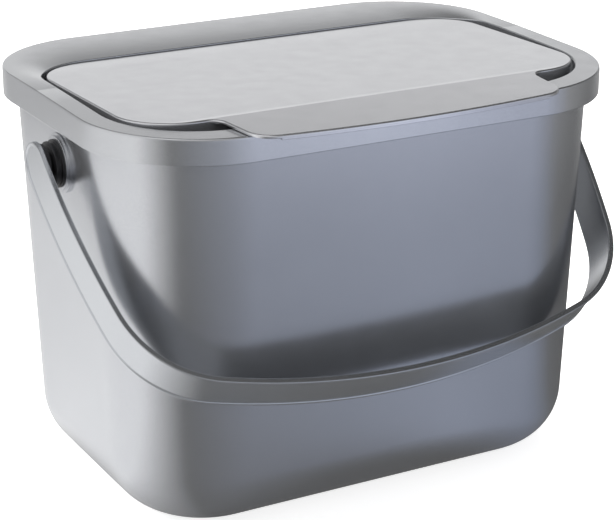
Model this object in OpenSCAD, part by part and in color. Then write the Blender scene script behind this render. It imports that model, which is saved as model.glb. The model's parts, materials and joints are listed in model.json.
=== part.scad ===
// Kitchen compost caddy: a tapered bucket with a carrying handle, a lift-off
// collar that traps the liner bag, and a lid hinged in the collar.
// Millimetres. +Z is up, -Y is the front, and the origin is the middle of the
// flat base. The handle is drawn where it hangs in front of the bucket.

/* [Bucket] */
// Overall height from the base to the top of the collar
caddy_h = 186; // [150:1:240]
// Width of the bucket at its mouth
mouth_w = 241.7; // [210:0.1:280]
// Depth of the bucket at its mouth, front to back
mouth_d = 176.7; // [160:0.1:220]
// Corner radius at the mouth
mouth_corner_r = 54.6; // [45:0.1:60]
// How much narrower the base is than the mouth, left to right
taper_w = 13.8; // [4:0.1:24]
// How much shallower the base is than the mouth, front to back
taper_d = 18.4; // [6:0.1:28]
// How much tighter the corner radius is at the base
taper_corner_r = 10.6; // [2:0.1:14]
// Radius of the round edge under the bucket
base_round_r = 27.3; // [20:0.1:32]
// Bucket wall
wall = 2.2; // [1.6:0.1:3]
// Bucket floor
floor_t = 2.6; // [2:0.1:4]
// How far the rim bead stands out of the bucket
bead_out = 1.7; // [1:0.1:2.5]
// Height of the rim bead
bead_h = 2.6; // [2:0.1:4]
// Depth of the groove that frames the middle of the base
base_groove = 0.8; // [0.4:0.1:1.2]
// Width of that groove
base_groove_w = 3; // [2:0.5:5]
// Distance of the groove from the edge of the flat base
base_groove_inset = 9; // [6:0.5:14]

/* [Collar] */
// Collar skirt wall
skirt_t = 2; // [1.5:0.1:2.6]
// Height of the skirt
skirt_h = 12.7; // [8:0.1:18]
// Room between the skirt and the rim bead
skirt_clear = 0.45; // [0.3:0.05:1]
// Front corner radius of the collar
collar_front_r = 55; // [48:0.5:58]
// Back corner radius of the collar
collar_back_r = 51.5; // [46:0.5:56]
// Top plate of the collar
plate_t = 2.7; // [2.2:0.1:3.2]
// How far the top plate falls from its crease to the front edge
plate_fall = 1.3; // [0.8:0.1:1.5]
// Place of that crease, ahead of (-) or behind (+) the middle
plate_crease_y = 9.5; // [0:0.5:20]
// Width of the collar band at each side of the recess
side_band = 10; // [9.5:0.1:14]
// Width of the collar band in front of the recess
front_band = 12; // [10:0.1:16]
// Width of the collar band behind the recess
back_band = 39; // [34:0.1:46]
// Front corner radius of the recess
recess_front_r = 44; // [38:0.5:50]
// Back corner radius of the recess
recess_back_r = 31; // [28:0.5:36]
// Wall round the recess
recess_wall = 1.8; // [1.4:0.1:2.4]
// Depth of the recess below the collar top
recess_depth = 11.8; // [11.4:0.1:14]
// Thickness of the ledge at the bottom of the recess
ledge_t = 2; // [1.5:0.1:3]
// Width of that ledge at the sides and the front
ledge_w = 6; // [4:0.5:9]
// Width of the ledge at the back
back_ledge_w = 12; // [8:0.5:20]
// Wall of the ring that presses the bag against the bucket
bag_ring_t = 2.2; // [1.6:0.1:3]
// How far the bag ring hangs below the top plate
bag_ring_h = 9; // [6:0.5:11]
// Room between the bag ring and the bucket wall
bag_ring_clear = 0.6; // [0.4:0.1:1.2]
// Width of the posts that carry the front of the lid
rest_post_w = 12; // [8:0.5:18]
// Distance of each post from the middle
rest_post_x = 60; // [45:1:70]

/* [Lid] */
// Thickness of the lid skin
lid_skin = 1.5; // [1.5:0.1:2.2]
// How far the lid top lies below the collar at its back edge
lid_sink = 1.5; // [1.2:0.1:1.8]
// Slope of the closed lid, rising to the front, in degrees
lid_tilt = 1.11; // [0.9:0.01:1.3]
// Gap between lid and recess at the sides
lid_gap_side = 3.4; // [2:0.1:4.5]
// Gap between lid and recess at the back
lid_gap_back = 1.5; // [1.3:0.1:2.5]
// Gap between the front wall of the lid and the recess
lid_gap_front = 10.5; // [9:0.05:12]
// Front corner radius of the lid
lid_front_r = 27; // [20:0.5:32]
// Back corner radius of the lid
lid_back_r = 26; // [22:0.5:30]
// Height of the wall under the lid
lid_wall_h = 4; // [3:0.1:4.5]
// Thickness of that wall and of the ribs
lid_wall = 1.5; // [1.2:0.1:2]
// Half of the width of the finger lip
lip_half_w = 75; // [60:0.5:85]
// How far the lip reaches past the front of the collar
lip_reach = 13.4; // [10:0.5:20]
// Radius of the bowed front edge of the lip
lip_bow_r = 515; // [400:5:900]
// Corner radius of the lip
lip_corner_r = 12; // [8:0.5:16]
// Radius of the hollow where the lip meets the lid
lip_notch_r = 8; // [5:0.5:10]
// Slope of the lip below the lid top, in degrees
lip_slope = 2.1; // [1.5:0.1:2.4]
// Distance of the fold from the front wall of the lid
lip_fold = 1.25; // [0.5:0.05:3]
// Height of the bead under the free edge of the lip
lip_bead_h = 0.7; // [0.4:0.1:1]
// Width of that bead
lip_bead_w = 2; // [1.5:0.1:3]

/* [Hinge] */
// Distance of the hinge axis behind the back edge of the lid, under the collar
hinge_reach = 12; // [11:0.1:13]
// Room between the plate edge and the hinge arms that swing round it
hinge_arm_room = 0.8; // [0.5:0.1:1]
// Thickness of the hinge arms
hinge_arm_t = 3; // [2.4:0.1:3.6]
// Radius of a hinge pin
hinge_pin_r = 1; // [0.8:0.05:1.1]
// Radius of the knuckles and ears
knuckle_r = 2.1; // [2:0.05:2.2]
// Width of each hinge arm and its knuckle
knuckle_len = 10; // [8:0.5:12]
// Thickness of each hinge ear
ear_t = 3; // [2:0.1:4]
// Distance of each hinge from the middle
hinge_x = 54; // [50:0.5:58]
// Room beside a knuckle, and between it and the plate above
hinge_gap = 0.4; // [0.3:0.05:0.5]
// Radial room of the pin in the lid knuckle, which turns on it
knuckle_run = 0.06; // [0.02:0.01:0.1]
// Radial room of the pin in the ears, which hold it
ear_grip = 0.02; // [0.01:0.01:0.03]

/* [Handle] */
// Room between the hanging grip and the bucket, in the middle
grip_room = 9.1; // [8.8:0.1:20]
// Width of the strap
strap_w = 21.4; // [18:0.1:26]
// Thickness of the strap
strap_t = 2.5; // [2.2:0.1:3.4]
// Width of the raised rim along both edges of the strap
strap_rim_w = 1.3; // [0.8:0.1:2]
// Height of that rim
strap_rim_h = 0.5; // [0.3:0.1:0.8]
// Radius of the long bow of each arm
arm_bow_r = 450; // [420:5:900]
// Radius of the two bends between arm and grip
bend_r = 49.5; // [42:0.5:56]
// Radius of the bow of the grip
grip_bow_r = 328; // [280:1:500]
// How far the handle hangs below level, in degrees
hang_angle = 42.4; // [36:0.1:44]

/* [Pivots] */
// Depth of the pivots below the top of the collar
pivot_drop = 29.7; // [29:0.1:45]
// Place of the pivots, ahead of (-) or behind (+) the middle
pivot_y = -2.8; // [-8:0.1:4]
// How far the flange round each pivot stands out of the bucket
flange_out = 2.2; // [1.8:0.1:3.5]
// Outer radius of the flange
flange_r = 13.2; // [12:0.1:15]
// Width of the step in the flange
flange_step = 1.2; // [0.8:0.1:2]
// Radius of the bush disc that sits on the flange
bush_disc_r = 10.6; // [10:0.1:11.5]
// Thickness of that disc
bush_disc_t = 0.9; // [0.7:0.1:1.4]
// Radius of the waist of the bush
bush_waist_r = 9.1; // [8.4:0.1:9.4]
// Length of the waist
bush_waist_t = 1.9; // [1.4:0.1:3]
// Radius of the outer disc of the bush
bush_rim_r = 10; // [9.6:0.1:10.5]
// Thickness of the outer disc
bush_rim_t = 0.8; // [0.6:0.1:1.2]
// Radius of the bush sleeve in the bucket wall
bush_sleeve_r = 6.6; // [6:0.1:7.5]
// Radius of the pivot pin
pivot_pin_r = 4.7; // [4.2:0.1:5]
// Radius of the collar on the pin, against the arm
pin_collar_r = 9.3; // [8:0.1:10]
// Thickness of that collar
pin_collar_t = 2.2; // [1.6:0.1:2.8]
// Bare stretch of pin between bush and pin collar
pin_gap = 1.85; // [1.4:0.05:2.6]
// Depth of the pin in the arm
pin_socket = 1.1; // [0.8:0.1:1.4]
// Radius of the push-on clip inside the bucket
clip_r = 8.4; // [7.5:0.1:9.5]
// Thickness of the clip
clip_t = 1.4; // [1:0.1:2]
// Length of pin that stands through the clip
pin_tail = 0.8; // [0.4:0.1:1.5]
// Radial room of the pin in the bush, which it turns in
pin_run = 0.05; // [0.02:0.01:0.1]
// Radial room of a fixed fit
fixed_fit = 0.02; // [0.01:0.01:0.03]

/* [Hidden] */
$fn = 64;

silver = [0.66, 0.68, 0.70];
pale_silver = [0.74, 0.76, 0.78];
slate = [0.50, 0.52, 0.57];
black = [0.08, 0.08, 0.09];
steel = [0.78, 0.78, 0.80];

seat_gap = 0.3;                  // between pieces that rest on each other
cut_over = 1;                    // how far a cut runs past the face it opens
corner_steps = 10;               // facets in each corner of the bucket
round_steps = 6;                 // facets in the round base edge
bend_steps = 14;                 // facets in each bend of the strap
bow_steps = 8;                   // facets in each long bow of the strap
lip_steps = 10;                  // facets in each curve of the lip
hook_steps = 16;                 // facets in the hook of each hinge arm

// Bucket: half sizes and corner radius at height z
rim_z = caddy_h - plate_t - seat_gap;
function half_w(z) = (mouth_w - taper_w * (1 - z / rim_z)) / 2;
function half_d(z) = (mouth_d - taper_d * (1 - z / rim_z)) / 2;
function corner_r(z) = mouth_corner_r - taper_corner_r * (1 - z / rim_z);
base_half_w = half_w(0) - base_round_r;
base_half_d = half_d(0) - base_round_r;
base_corner_r = corner_r(0) - base_round_r;

// Collar outline and the recess in it
collar_half_w = mouth_w / 2 + bead_out + skirt_clear + skirt_t;
collar_half_d = mouth_d / 2 + bead_out + skirt_clear + skirt_t;
plate_under = caddy_h - plate_t;
plate_slope = atan(plate_fall / (collar_half_d + plate_crease_y));
recess_half_w = collar_half_w - side_band;
recess_front = front_band - collar_half_d;
recess_back = collar_half_d - back_band;
ledge_top = caddy_h - recess_depth;
ledge_under = ledge_top - ledge_t;
ring_top_z = plate_under - bag_ring_h;
ring_half_w = half_w(ring_top_z) - wall - bag_ring_clear;
ring_half_d = half_d(ring_top_z) - wall - bag_ring_clear;
ring_corner_r = corner_r(ring_top_z) - wall - bag_ring_clear;
back_ribs = 5;                   // stiffeners under the wide back band
back_rib_pitch = 36;
back_rib_t = 1.6;

// Lid outline, in its own level frame
lid_half_w = recess_half_w - lid_gap_side;
lid_back = recess_back - lid_gap_back;
lid_front = recess_front + lid_gap_front;
fold_y = lid_front + lip_fold;
lip_tip = -collar_half_d - lip_reach;
lip_bow_centre = [0, lip_tip + lip_bow_r];
lip_corner_x = lip_half_w - lip_corner_r;
lip_corner = [lip_corner_x, lip_bow_centre[1] - sqrt(pow(lip_bow_r - lip_corner_r, 2) - pow(lip_corner_x, 2))];
lid_under = -lid_skin;
lid_wall_under = lid_under - lid_wall_h;
lid_rib_h = lid_wall_h - 1;
lid_rib_x = 38;

// Height of the lid's lower wall edge over a point at depth y, when closed
function wall_edge_z(y) = caddy_h - lid_sink + lid_wall_under * cos(lid_tilt)
                        + (lid_back - y) * sin(lid_tilt);

// Hinge axis under the back band. Each arm is a hook round it, outside the path
// that the plate edge takes past the opening lid
hinge_y = lid_back + hinge_reach;
hinge_z = plate_under - hinge_gap - knuckle_r;
ear_from = knuckle_len / 2 + hinge_gap;
arm_in_r = norm([hinge_y - recess_back, caddy_h - hinge_z]) + hinge_arm_room;
arm_out_r = arm_in_r + hinge_arm_t;
arm_top_a = asin((caddy_h - lid_sink - lid_skin - hinge_z) / arm_in_r);
arm_tail_a = -100;               // where the hook ends, under the axis
arm_stem_a = -103;               // way of the stem from the axis to the hook
arm_stem_t = 3.4;
arm_slot_front = hinge_y - arm_out_r - hinge_gap;

// Pivots, from the bucket wall outwards to the arm
pivot_z = caddy_h - pivot_drop;
flange_face = half_w(pivot_z) + flange_out;
disc_face = flange_face + bush_disc_t;
waist_face = disc_face + bush_waist_t;
bush_face = waist_face + bush_rim_t;
pin_face = bush_face + pin_gap;
arm_inner = pin_face + pin_collar_t;
arm_outer = arm_inner + strap_t;
inner_pad_face = half_w(pivot_z - flange_r) - wall - seat_gap;
inner_pad_r = bush_sleeve_r + 3;
clip_face = inner_pad_face - seat_gap;

// Reach of the strap from the pivots, which keeps its lower edge clear of the bucket
front_slope = taper_d / (2 * rim_z);
strap_edge = strap_w / 2 * [sin(hang_angle), cos(hang_angle)];
handle_reach = strap_t + (grip_room + half_d(0) + front_slope * (pivot_z - strap_edge[1]) + pivot_y + strap_edge[0])
             / (cos(hang_angle) + front_slope * sin(hang_angle));

// Strap path in the plane of the handle: three tangent arcs on each side
arm_centre = [arm_outer - arm_bow_r, 0];
grip_centre = [0, handle_reach - grip_bow_r];
bend_centre = meet(arm_centre, arm_bow_r - bend_r, grip_centre, grip_bow_r - bend_r);
arm_end_a = angle_to(arm_centre, bend_centre);
bend_end_a = angle_to(grip_centre, bend_centre);

// Direction from p to q, in degrees
function angle_to(p, q) = atan2(q[1] - p[1], q[0] - p[0]);
// The crossing of a circle (c, r) and a circle (d, s) that lies left of the way from c to d
function meet(c, r, d, s) =
    let (gap = norm(d - c), along = (gap * gap + r * r - s * s) / (2 * gap),
         off = sqrt(r * r - along * along), u = (d - c) / gap)
    c + along * u + off * [-u[1], u[0]];
function arc(c, r, from, to, steps) =
    [for (i = [0:steps]) let (a = from + (to - from) * i / steps) c + r * [cos(a), sin(a)]];
// Right half of the strap path up to the middle of the grip, drawn in by a depth
function strap_side(depth) = concat(
    arc(arm_centre, arm_bow_r - depth, 0, arm_end_a, bow_steps),
    after_first(arc(bend_centre, bend_r - depth, arm_end_a, bend_end_a, bend_steps)),
    after_first(arc(grip_centre, grip_bow_r - depth, bend_end_a, 90, bow_steps)));
function after_first(list) = [for (i = [1:len(list) - 1]) list[i]];
function backwards(list) = [for (i = [len(list) - 1:-1:0]) list[i]];
// A side that ends in the middle, followed by its mirror image
function mirrored(side) = concat(side, [for (p = after_first(backwards(side))) [-p[0], p[1]]]);
function strap_path(depth) = mirrored(strap_side(depth));

// A rounded rectangle with its own front and back corner radii
module outline(half, front, back, front_r, back_r) {
    polygon([[front_r - half, front], [half - front_r, front],
             [half, front + front_r], [half, back - back_r],
             [half - back_r, back], [back_r - half, back],
             [-half, back - back_r], [-half, front + front_r]]);
    for (side = [-1, 1]) {
        translate([side * (half - front_r), front + front_r]) circle(front_r);
        translate([side * (half - back_r), back - back_r]) circle(back_r);
    }
}

module slab(z0, z1) {
    translate([0, 0, z0]) linear_extrude(z1 - z0) children();
}

// A cylinder along X between two distances from the middle, on one side
module x_rod(side, from, to, r) {
    translate([side > 0 ? from : -to, 0, 0]) rotate([0, 90, 0]) cylinder(h = to - from, r = r);
}

// Closed skin through a stack of rings with the same number of points
module loft(rings) {
    count = len(rings[0]);
    last = len(rings) - 1;
    polyhedron(
        points = [for (ring = rings) each ring],
        faces = concat(
            [[for (i = [0:count - 1]) i]],
            [[for (i = [count - 1:-1:0]) last * count + i]],
            [for (k = [0:last - 1], i = [0:count - 1]) let (j = (i + 1) % count)
                [k * count + i, (k + 1) * count + i, (k + 1) * count + j, k * count + j]]));
}

function corner_ring(w, d, r, z) =
    [for (q = [0:3], i = [0:corner_steps])
        let (a = 90 * (q + i / corner_steps), x = (q == 0 || q == 3) ? 1 : -1, y = q < 2 ? 1 : -1)
        [x * (w - r) + r * cos(a), y * (d - r) + r * sin(a), z]];
// Rings of the bucket drawn in by a depth, standing on a floor, up to a top
function bucket_rings(depth, bottom, top) = let (round_r = base_round_r - depth)
    concat(
        [for (i = [0:round_steps])
            let (a = 90 * i / round_steps, z = bottom + round_r * (1 - cos(a)),
                 inset = depth + round_r * (1 - sin(a)))
            corner_ring(half_w(z) - inset, half_d(z) - inset, corner_r(z) - inset, z)],
        [corner_ring(half_w(top) - depth, half_d(top) - depth, corner_r(top) - depth, top)]);

module base_frame(inset) {
    half = base_half_w - inset;
    deep = base_half_d - inset;
    r = base_corner_r - inset;
    outline(half, -deep, deep, r, r);
}

module at_pivot() {
    translate([0, pivot_y, pivot_z]) children();
}

module bucket() color(silver) difference() {
    union() {
        loft(bucket_rings(0, 0, rim_z));
        slab(rim_z - bead_h, rim_z)
            outline(mouth_w / 2 + bead_out, -mouth_d / 2 - bead_out, mouth_d / 2 + bead_out,
                    mouth_corner_r + bead_out, mouth_corner_r + bead_out);
        for (side = [-1, 1]) at_pivot() {
            x_rod(side, half_w(pivot_z) - wall, flange_face - flange_out / 2, flange_r);
            x_rod(side, half_w(pivot_z) - wall, flange_face, flange_r - flange_step);
        }
    }
    difference() {
        loft(bucket_rings(wall, floor_t, rim_z + cut_over));
        for (side = [-1, 1]) at_pivot()
            x_rod(side, inner_pad_face, half_w(pivot_z) + flange_out / 2, inner_pad_r);
    }
    for (side = [-1, 1]) at_pivot()
        x_rod(side, inner_pad_face - cut_over, flange_face + cut_over, bush_sleeve_r + fixed_fit);
    slab(-cut_over, base_groove) difference() {
        base_frame(base_groove_inset);
        base_frame(base_groove_inset + base_groove_w);
    }
}

module recess_outline(grow) {
    outline(recess_half_w + grow, recess_front - grow, recess_back + grow,
            recess_front_r + grow, recess_back_r + grow);
}

module throat_outline() {
    outline(recess_half_w - ledge_w, recess_front + ledge_w, recess_back - back_ledge_w,
            recess_front_r - ledge_w, recess_back_r - ledge_w);
}

module skirt_outline(depth) {
    outline(collar_half_w - depth, depth - collar_half_d, collar_half_d - depth,
            collar_front_r - depth, collar_back_r - depth);
}

module ring_outline(depth) {
    r = ring_corner_r - depth;
    outline(ring_half_w - depth, depth - ring_half_d, ring_half_d - depth, r, r);
}

// One ear: a round eye on the hinge axis that hangs from the plate
module hinge_ear(x) {
    translate([x, hinge_y, hinge_z]) rotate([0, 90, 0]) cylinder(h = ear_t, r = knuckle_r);
    translate([x, hinge_y - knuckle_r, hinge_z])
        cube([ear_t, 2 * knuckle_r, plate_under + plate_t / 2 - hinge_z]);
}

module collar() color(silver) difference() {
    union() {
        slab(plate_under, caddy_h) difference() {
            skirt_outline(0);
            recess_outline(0);
        }
        slab(caddy_h - skirt_h, caddy_h) difference() {
            skirt_outline(0);
            skirt_outline(skirt_t);
        }
        slab(ledge_under, caddy_h) difference() {
            recess_outline(recess_wall);
            recess_outline(0);
        }
        slab(ledge_under, ledge_top) difference() {
            recess_outline(recess_wall);
            throat_outline();
        }
        slab(ring_top_z, caddy_h - plate_t / 2) difference() {
            ring_outline(0);
            ring_outline(bag_ring_t);
        }
        for (i = [0:back_ribs - 1])
            translate([(i - (back_ribs - 1) / 2) * back_rib_pitch - back_rib_t / 2,
                       recess_back + recess_wall / 2, ring_top_z])
                cube([back_rib_t, ring_half_d - recess_back - recess_wall / 2 - bag_ring_t / 2,
                      plate_under - ring_top_z + plate_t / 2]);
        for (side = [-1, 1]) {
            translate([side * rest_post_x - rest_post_w / 2, recess_front - recess_wall / 2, ledge_under])
                cube([rest_post_w, lid_front + lid_wall + 1 - recess_front + recess_wall / 2,
                      wall_edge_z(lid_front) - seat_gap - ledge_under]);
            for (out = [ear_from, -ear_from - ear_t]) hinge_ear(side * hinge_x + out);
        }
    }
    // the front half of the top falls gently away from the crease
    translate([0, plate_crease_y, caddy_h]) rotate([plate_slope, 0, 0])
        translate([-collar_half_w - cut_over, -2 * collar_half_d, 0])
            cube([2 * (collar_half_w + cut_over), 2 * collar_half_d, plate_t + lid_skin]);
    for (side = [-1, 1]) {
        translate([side * hinge_x, hinge_y, hinge_z]) rotate([0, 90, 0])
            cylinder(h = 2 * (ear_from + ear_t + cut_over), r = hinge_pin_r + ear_grip, center = true);
        // slot in the recess wall and ledge for the hinge arm
        translate([side * hinge_x - ear_from, arm_slot_front, ledge_under - cut_over])
            cube([2 * ear_from, recess_back + recess_wall + cut_over - arm_slot_front,
                  plate_under - ledge_under + cut_over]);
    }
}

module lid_plate(grow) {
    outline(lid_half_w + grow, lid_front - grow, lid_back + grow, lid_front_r + grow, lid_back_r + grow);
}

// Plan of the lip: a hollow corner, a straight side, a round corner and the bowed front edge
module lip_outline() {
    bow_from = angle_to(lip_bow_centre, lip_corner);
    side = concat(
        [[lip_half_w + lip_notch_r, lid_front + lid_wall]],
        arc([lip_half_w + lip_notch_r, lid_front - lip_notch_r], lip_notch_r, 90, 180, lip_steps),
        arc(lip_corner, lip_corner_r, 0, bow_from, lip_steps),
        after_first(arc(lip_bow_centre, lip_bow_r, bow_from, -90, lip_steps)));
    polygon(mirrored(side));
}

// Strip under the bowed front edge
module lip_bead_outline() {
    bow_from = angle_to(lip_bow_centre, lip_corner);
    polygon(concat(
        mirrored(arc(lip_bow_centre, lip_bow_r, bow_from, -90, lip_steps)),
        backwards(mirrored(arc(lip_bow_centre, lip_bow_r - lip_bead_w, bow_from, -90, lip_steps)))));
}

module lid_outline() {
    lid_plate(0);
    lip_outline();
}

// Whatever of a plan lies between two depths below the folded top of the lid
module lid_sheet(from, to) {
    lip_drop = (fold_y - lip_tip) * tan(lip_slope);
    intersection() {
        slab(lid_wall_under - lip_drop, cut_over) children();
        rotate([90, 0, 90]) linear_extrude(2 * collar_half_w, center = true)
            polygon([[lid_back + cut_over, -from], [fold_y, -from], [lip_tip - cut_over, -from - lip_drop],
                     [lip_tip - cut_over, -to - lip_drop], [fold_y, -to], [lid_back + cut_over, -to]]);
    }
}

// Lid in its own level frame: the top is z = 0 behind the fold
module level_lid() {
    lid_sheet(0, lid_skin) lid_outline();
    lid_sheet(lid_skin / 2, lid_skin + lip_bead_h) lip_bead_outline();
    slab(lid_wall_under, lid_under / 2) difference() {
        lid_plate(0);
        lid_plate(-lid_wall);
    }
    for (x = [-lid_rib_x, 0, lid_rib_x])
        translate([x - lid_wall / 2, lid_front + lid_wall / 2, lid_under - lid_rib_h])
            cube([lid_wall, lid_back - lid_front - lid_wall, lid_rib_h + lid_skin / 2]);
}

// Side view of a hinge arm round the axis, the front being +X: a stem and a hook
module hinge_arm_outline() {
    circle(knuckle_r);
    rotate(arm_stem_a) translate([0, -arm_stem_t / 2]) square([(arm_in_r + arm_out_r) / 2, arm_stem_t]);
    polygon(concat(arc([0, 0], arm_out_r, arm_tail_a, arm_top_a, hook_steps),
                   backwards(arc([0, 0], arm_in_r, arm_tail_a, arm_top_a, hook_steps))));
}

module lid() color(pale_silver) difference() {
    union() {
        translate([0, lid_back, caddy_h - lid_sink]) rotate([-lid_tilt, 0, 0])
            translate([0, -lid_back, 0]) level_lid();
        for (side = [-1, 1])
            translate([side * hinge_x + knuckle_len / 2, hinge_y, hinge_z]) rotate([90, 0, -90])
                linear_extrude(knuckle_len) hinge_arm_outline();
    }
    for (side = [-1, 1]) translate([side * hinge_x, hinge_y, hinge_z]) rotate([0, 90, 0])
        cylinder(h = knuckle_len + 2 * cut_over, r = hinge_pin_r + knuckle_run, center = true);
}

// Strap between two depths below its outer face, for a given width
module strap_band(from, to, w) {
    linear_extrude(w, center = true) polygon(concat(strap_path(from), backwards(strap_path(to))));
}

// Turns the flat drawing plane of the strap into the hanging plane
module hang() {
    at_pivot() rotate([180 + hang_angle, 0, 0]) children();
}

module handle() color(slate) hang() difference() {
    union() {
        strap_band(0, strap_t, strap_w);
        for (side = [-1, 1]) x_rod(side, arm_inner, arm_outer, strap_w / 2);
    }
    strap_band(-strap_rim_h, strap_rim_h, strap_w - 2 * strap_rim_w);
    for (side = [-1, 1]) {
        x_rod(side, arm_outer - strap_rim_h, arm_outer + strap_rim_h, strap_w / 2 - strap_rim_w);
        x_rod(side, arm_inner - cut_over, arm_inner + pin_socket, pivot_pin_r + fixed_fit);
        x_rod(side, pin_face, arm_inner, pin_collar_r + seat_gap);
    }
}

module pivot_bush(side) color(black) at_pivot() difference() {
    union() {
        x_rod(side, inner_pad_face, disc_face, bush_sleeve_r);
        x_rod(side, flange_face, disc_face, bush_disc_r);
        x_rod(side, disc_face - bush_disc_t / 2, waist_face, bush_waist_r);
        x_rod(side, waist_face, bush_face, bush_rim_r);
    }
    x_rod(side, inner_pad_face - cut_over, bush_face + cut_over, pivot_pin_r + pin_run);
}

module pivot_pin(side) color(black) at_pivot() {
    x_rod(side, clip_face - clip_t - pin_tail, arm_inner + pin_socket, pivot_pin_r);
    x_rod(side, pin_face, arm_inner, pin_collar_r);
}

module pivot_clip(side) color(black) at_pivot() difference() {
    x_rod(side, clip_face - clip_t, clip_face, clip_r);
    x_rod(side, clip_face - clip_t - cut_over, clip_face + cut_over, pivot_pin_r + fixed_fit);
}

module hinge_pin(side) color(steel)
    translate([side * hinge_x, hinge_y, hinge_z]) rotate([0, 90, 0])
        cylinder(h = 2 * (ear_from + ear_t), r = hinge_pin_r, center = true);

bucket();
collar();
lid();
handle();
pivot_bush(-1);  // pivot_bush_left
pivot_bush(1);  // pivot_bush_right
pivot_pin(-1);  // pivot_pin_left
pivot_pin(1);  // pivot_pin_right
pivot_clip(-1);  // pivot_clip_left
pivot_clip(1);  // pivot_clip_right
hinge_pin(-1);  // hinge_pin_left
hinge_pin(1);  // hinge_pin_right
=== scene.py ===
"""Looks of a kitchen compost caddy: a tapered bucket, a lift-off collar, a flush lid and a strap handle.

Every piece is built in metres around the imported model, with +Z up and -Y at the front. A visible
shape is a stack of rings: each ring is the right half of an outline, from its back to its front,
which is mirrored to the left, and neighbouring rings are joined by quads.
"""

import json
import logging
import math
from dataclasses import dataclass, field
from enum import Enum
from typing import Sequence

import bmesh
import bpy
import numpy as np
from mathutils import Matrix, Vector


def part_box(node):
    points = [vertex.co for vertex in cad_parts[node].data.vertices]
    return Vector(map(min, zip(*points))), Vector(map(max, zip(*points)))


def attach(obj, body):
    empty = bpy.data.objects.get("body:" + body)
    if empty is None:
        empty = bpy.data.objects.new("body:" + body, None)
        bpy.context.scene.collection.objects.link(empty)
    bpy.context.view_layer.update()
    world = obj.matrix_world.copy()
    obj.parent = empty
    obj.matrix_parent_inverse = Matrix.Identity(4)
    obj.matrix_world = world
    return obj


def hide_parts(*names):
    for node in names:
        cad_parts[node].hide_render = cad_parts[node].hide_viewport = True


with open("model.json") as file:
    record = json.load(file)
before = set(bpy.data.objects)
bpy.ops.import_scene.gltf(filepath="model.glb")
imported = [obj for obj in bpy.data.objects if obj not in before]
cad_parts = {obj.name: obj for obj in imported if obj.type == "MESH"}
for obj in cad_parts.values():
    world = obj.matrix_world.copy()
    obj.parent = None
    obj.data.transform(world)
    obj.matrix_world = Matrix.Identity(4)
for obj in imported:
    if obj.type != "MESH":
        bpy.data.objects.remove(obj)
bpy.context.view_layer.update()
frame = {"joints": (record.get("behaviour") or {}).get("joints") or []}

LOG = logging.getLogger("caddy")
MM = 0.001
FACES_ALL_ROUND = 96                  # columns of a turned piece
SHARP_ANGLE = math.radians(38)
FINE_SHARP_ANGLE = math.radians(13)
SHARE_OF_SHORT_FACE = 0.42            # most of a short face that a rounded edge may take
HOLD = 1.15                           # place of the rings that keep flat faces flat, in reaches
MERGE_DISTANCE = 0.002 * MM
SEAT_GAP = 0.3 * MM
OVERCUT = 1 * MM                      # how far a cutter runs past what it cuts
NEAR = 0.02 * MM                      # keeps faces of joined shells just apart

Colour = tuple[float, float, float]
Socket = bpy.types.NodeSocket


class Side(Enum):
    """Left or right half of the caddy, as the sign of X."""

    LEFT = -1
    RIGHT = 1


class Slot(Enum):
    """Material slots of the record that the pieces take their finish from."""

    BUCKET = "bucket_plastic"
    COLLAR = "collar_plastic"
    LID = "lid_plastic"
    HANDLE = "handle_plastic"
    BLACK = "black_plastic"
    STEEL = "pin_steel"


class Body(Enum):
    """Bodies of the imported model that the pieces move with."""

    BUCKET = "bucket_body"
    COLLAR = "collar_body"
    LID = "lid_body"
    HANDLE = "handle_body"


# ---------------------------------------------------------------- frame

def joint_point(name: str) -> np.ndarray:
    """Gives the point that a joint turns about.

    Args:
        name: the joint's name in the record.

    Returns:
        The point at rest, in metres.
    """
    row = next(j for j in frame["joints"] if j["name"] == name)
    return np.array(row["pos_m"], float)


def node_box(node: str) -> tuple[np.ndarray, np.ndarray]:
    """Gives the corners of a CAD node.

    Args:
        node: the node's name.

    Returns:
        Its lowest and its highest corner, in metres.
    """
    low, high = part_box(node)
    return np.array(low), np.array(high)


# ---------------------------------------------------------------- rings

def arc(centre: Sequence[float], radius: float, start: float, stop: float, steps: int) -> np.ndarray:
    """Points on a circle: centre + radius * (cos a, sin a), a running from start to stop.

    Args:
        centre: the circle's centre in the plane.
        radius: its radius.
        start: first angle, in degrees.
        stop: last angle, in degrees.
        steps: number of stretches between the points.

    Returns:
        An array of shape (steps + 1, 2).
    """
    angle = np.radians(np.linspace(start, stop, steps + 1))
    return np.column_stack((centre[0] + radius * np.cos(angle), centre[1] + radius * np.sin(angle)))


def at_height(half: np.ndarray, z: float | np.ndarray) -> np.ndarray:
    """Lifts a plane half outline of shape (n, 2) to a height, which gives shape (n, 3)."""
    return np.column_stack((half, np.broadcast_to(z, len(half))))


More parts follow.
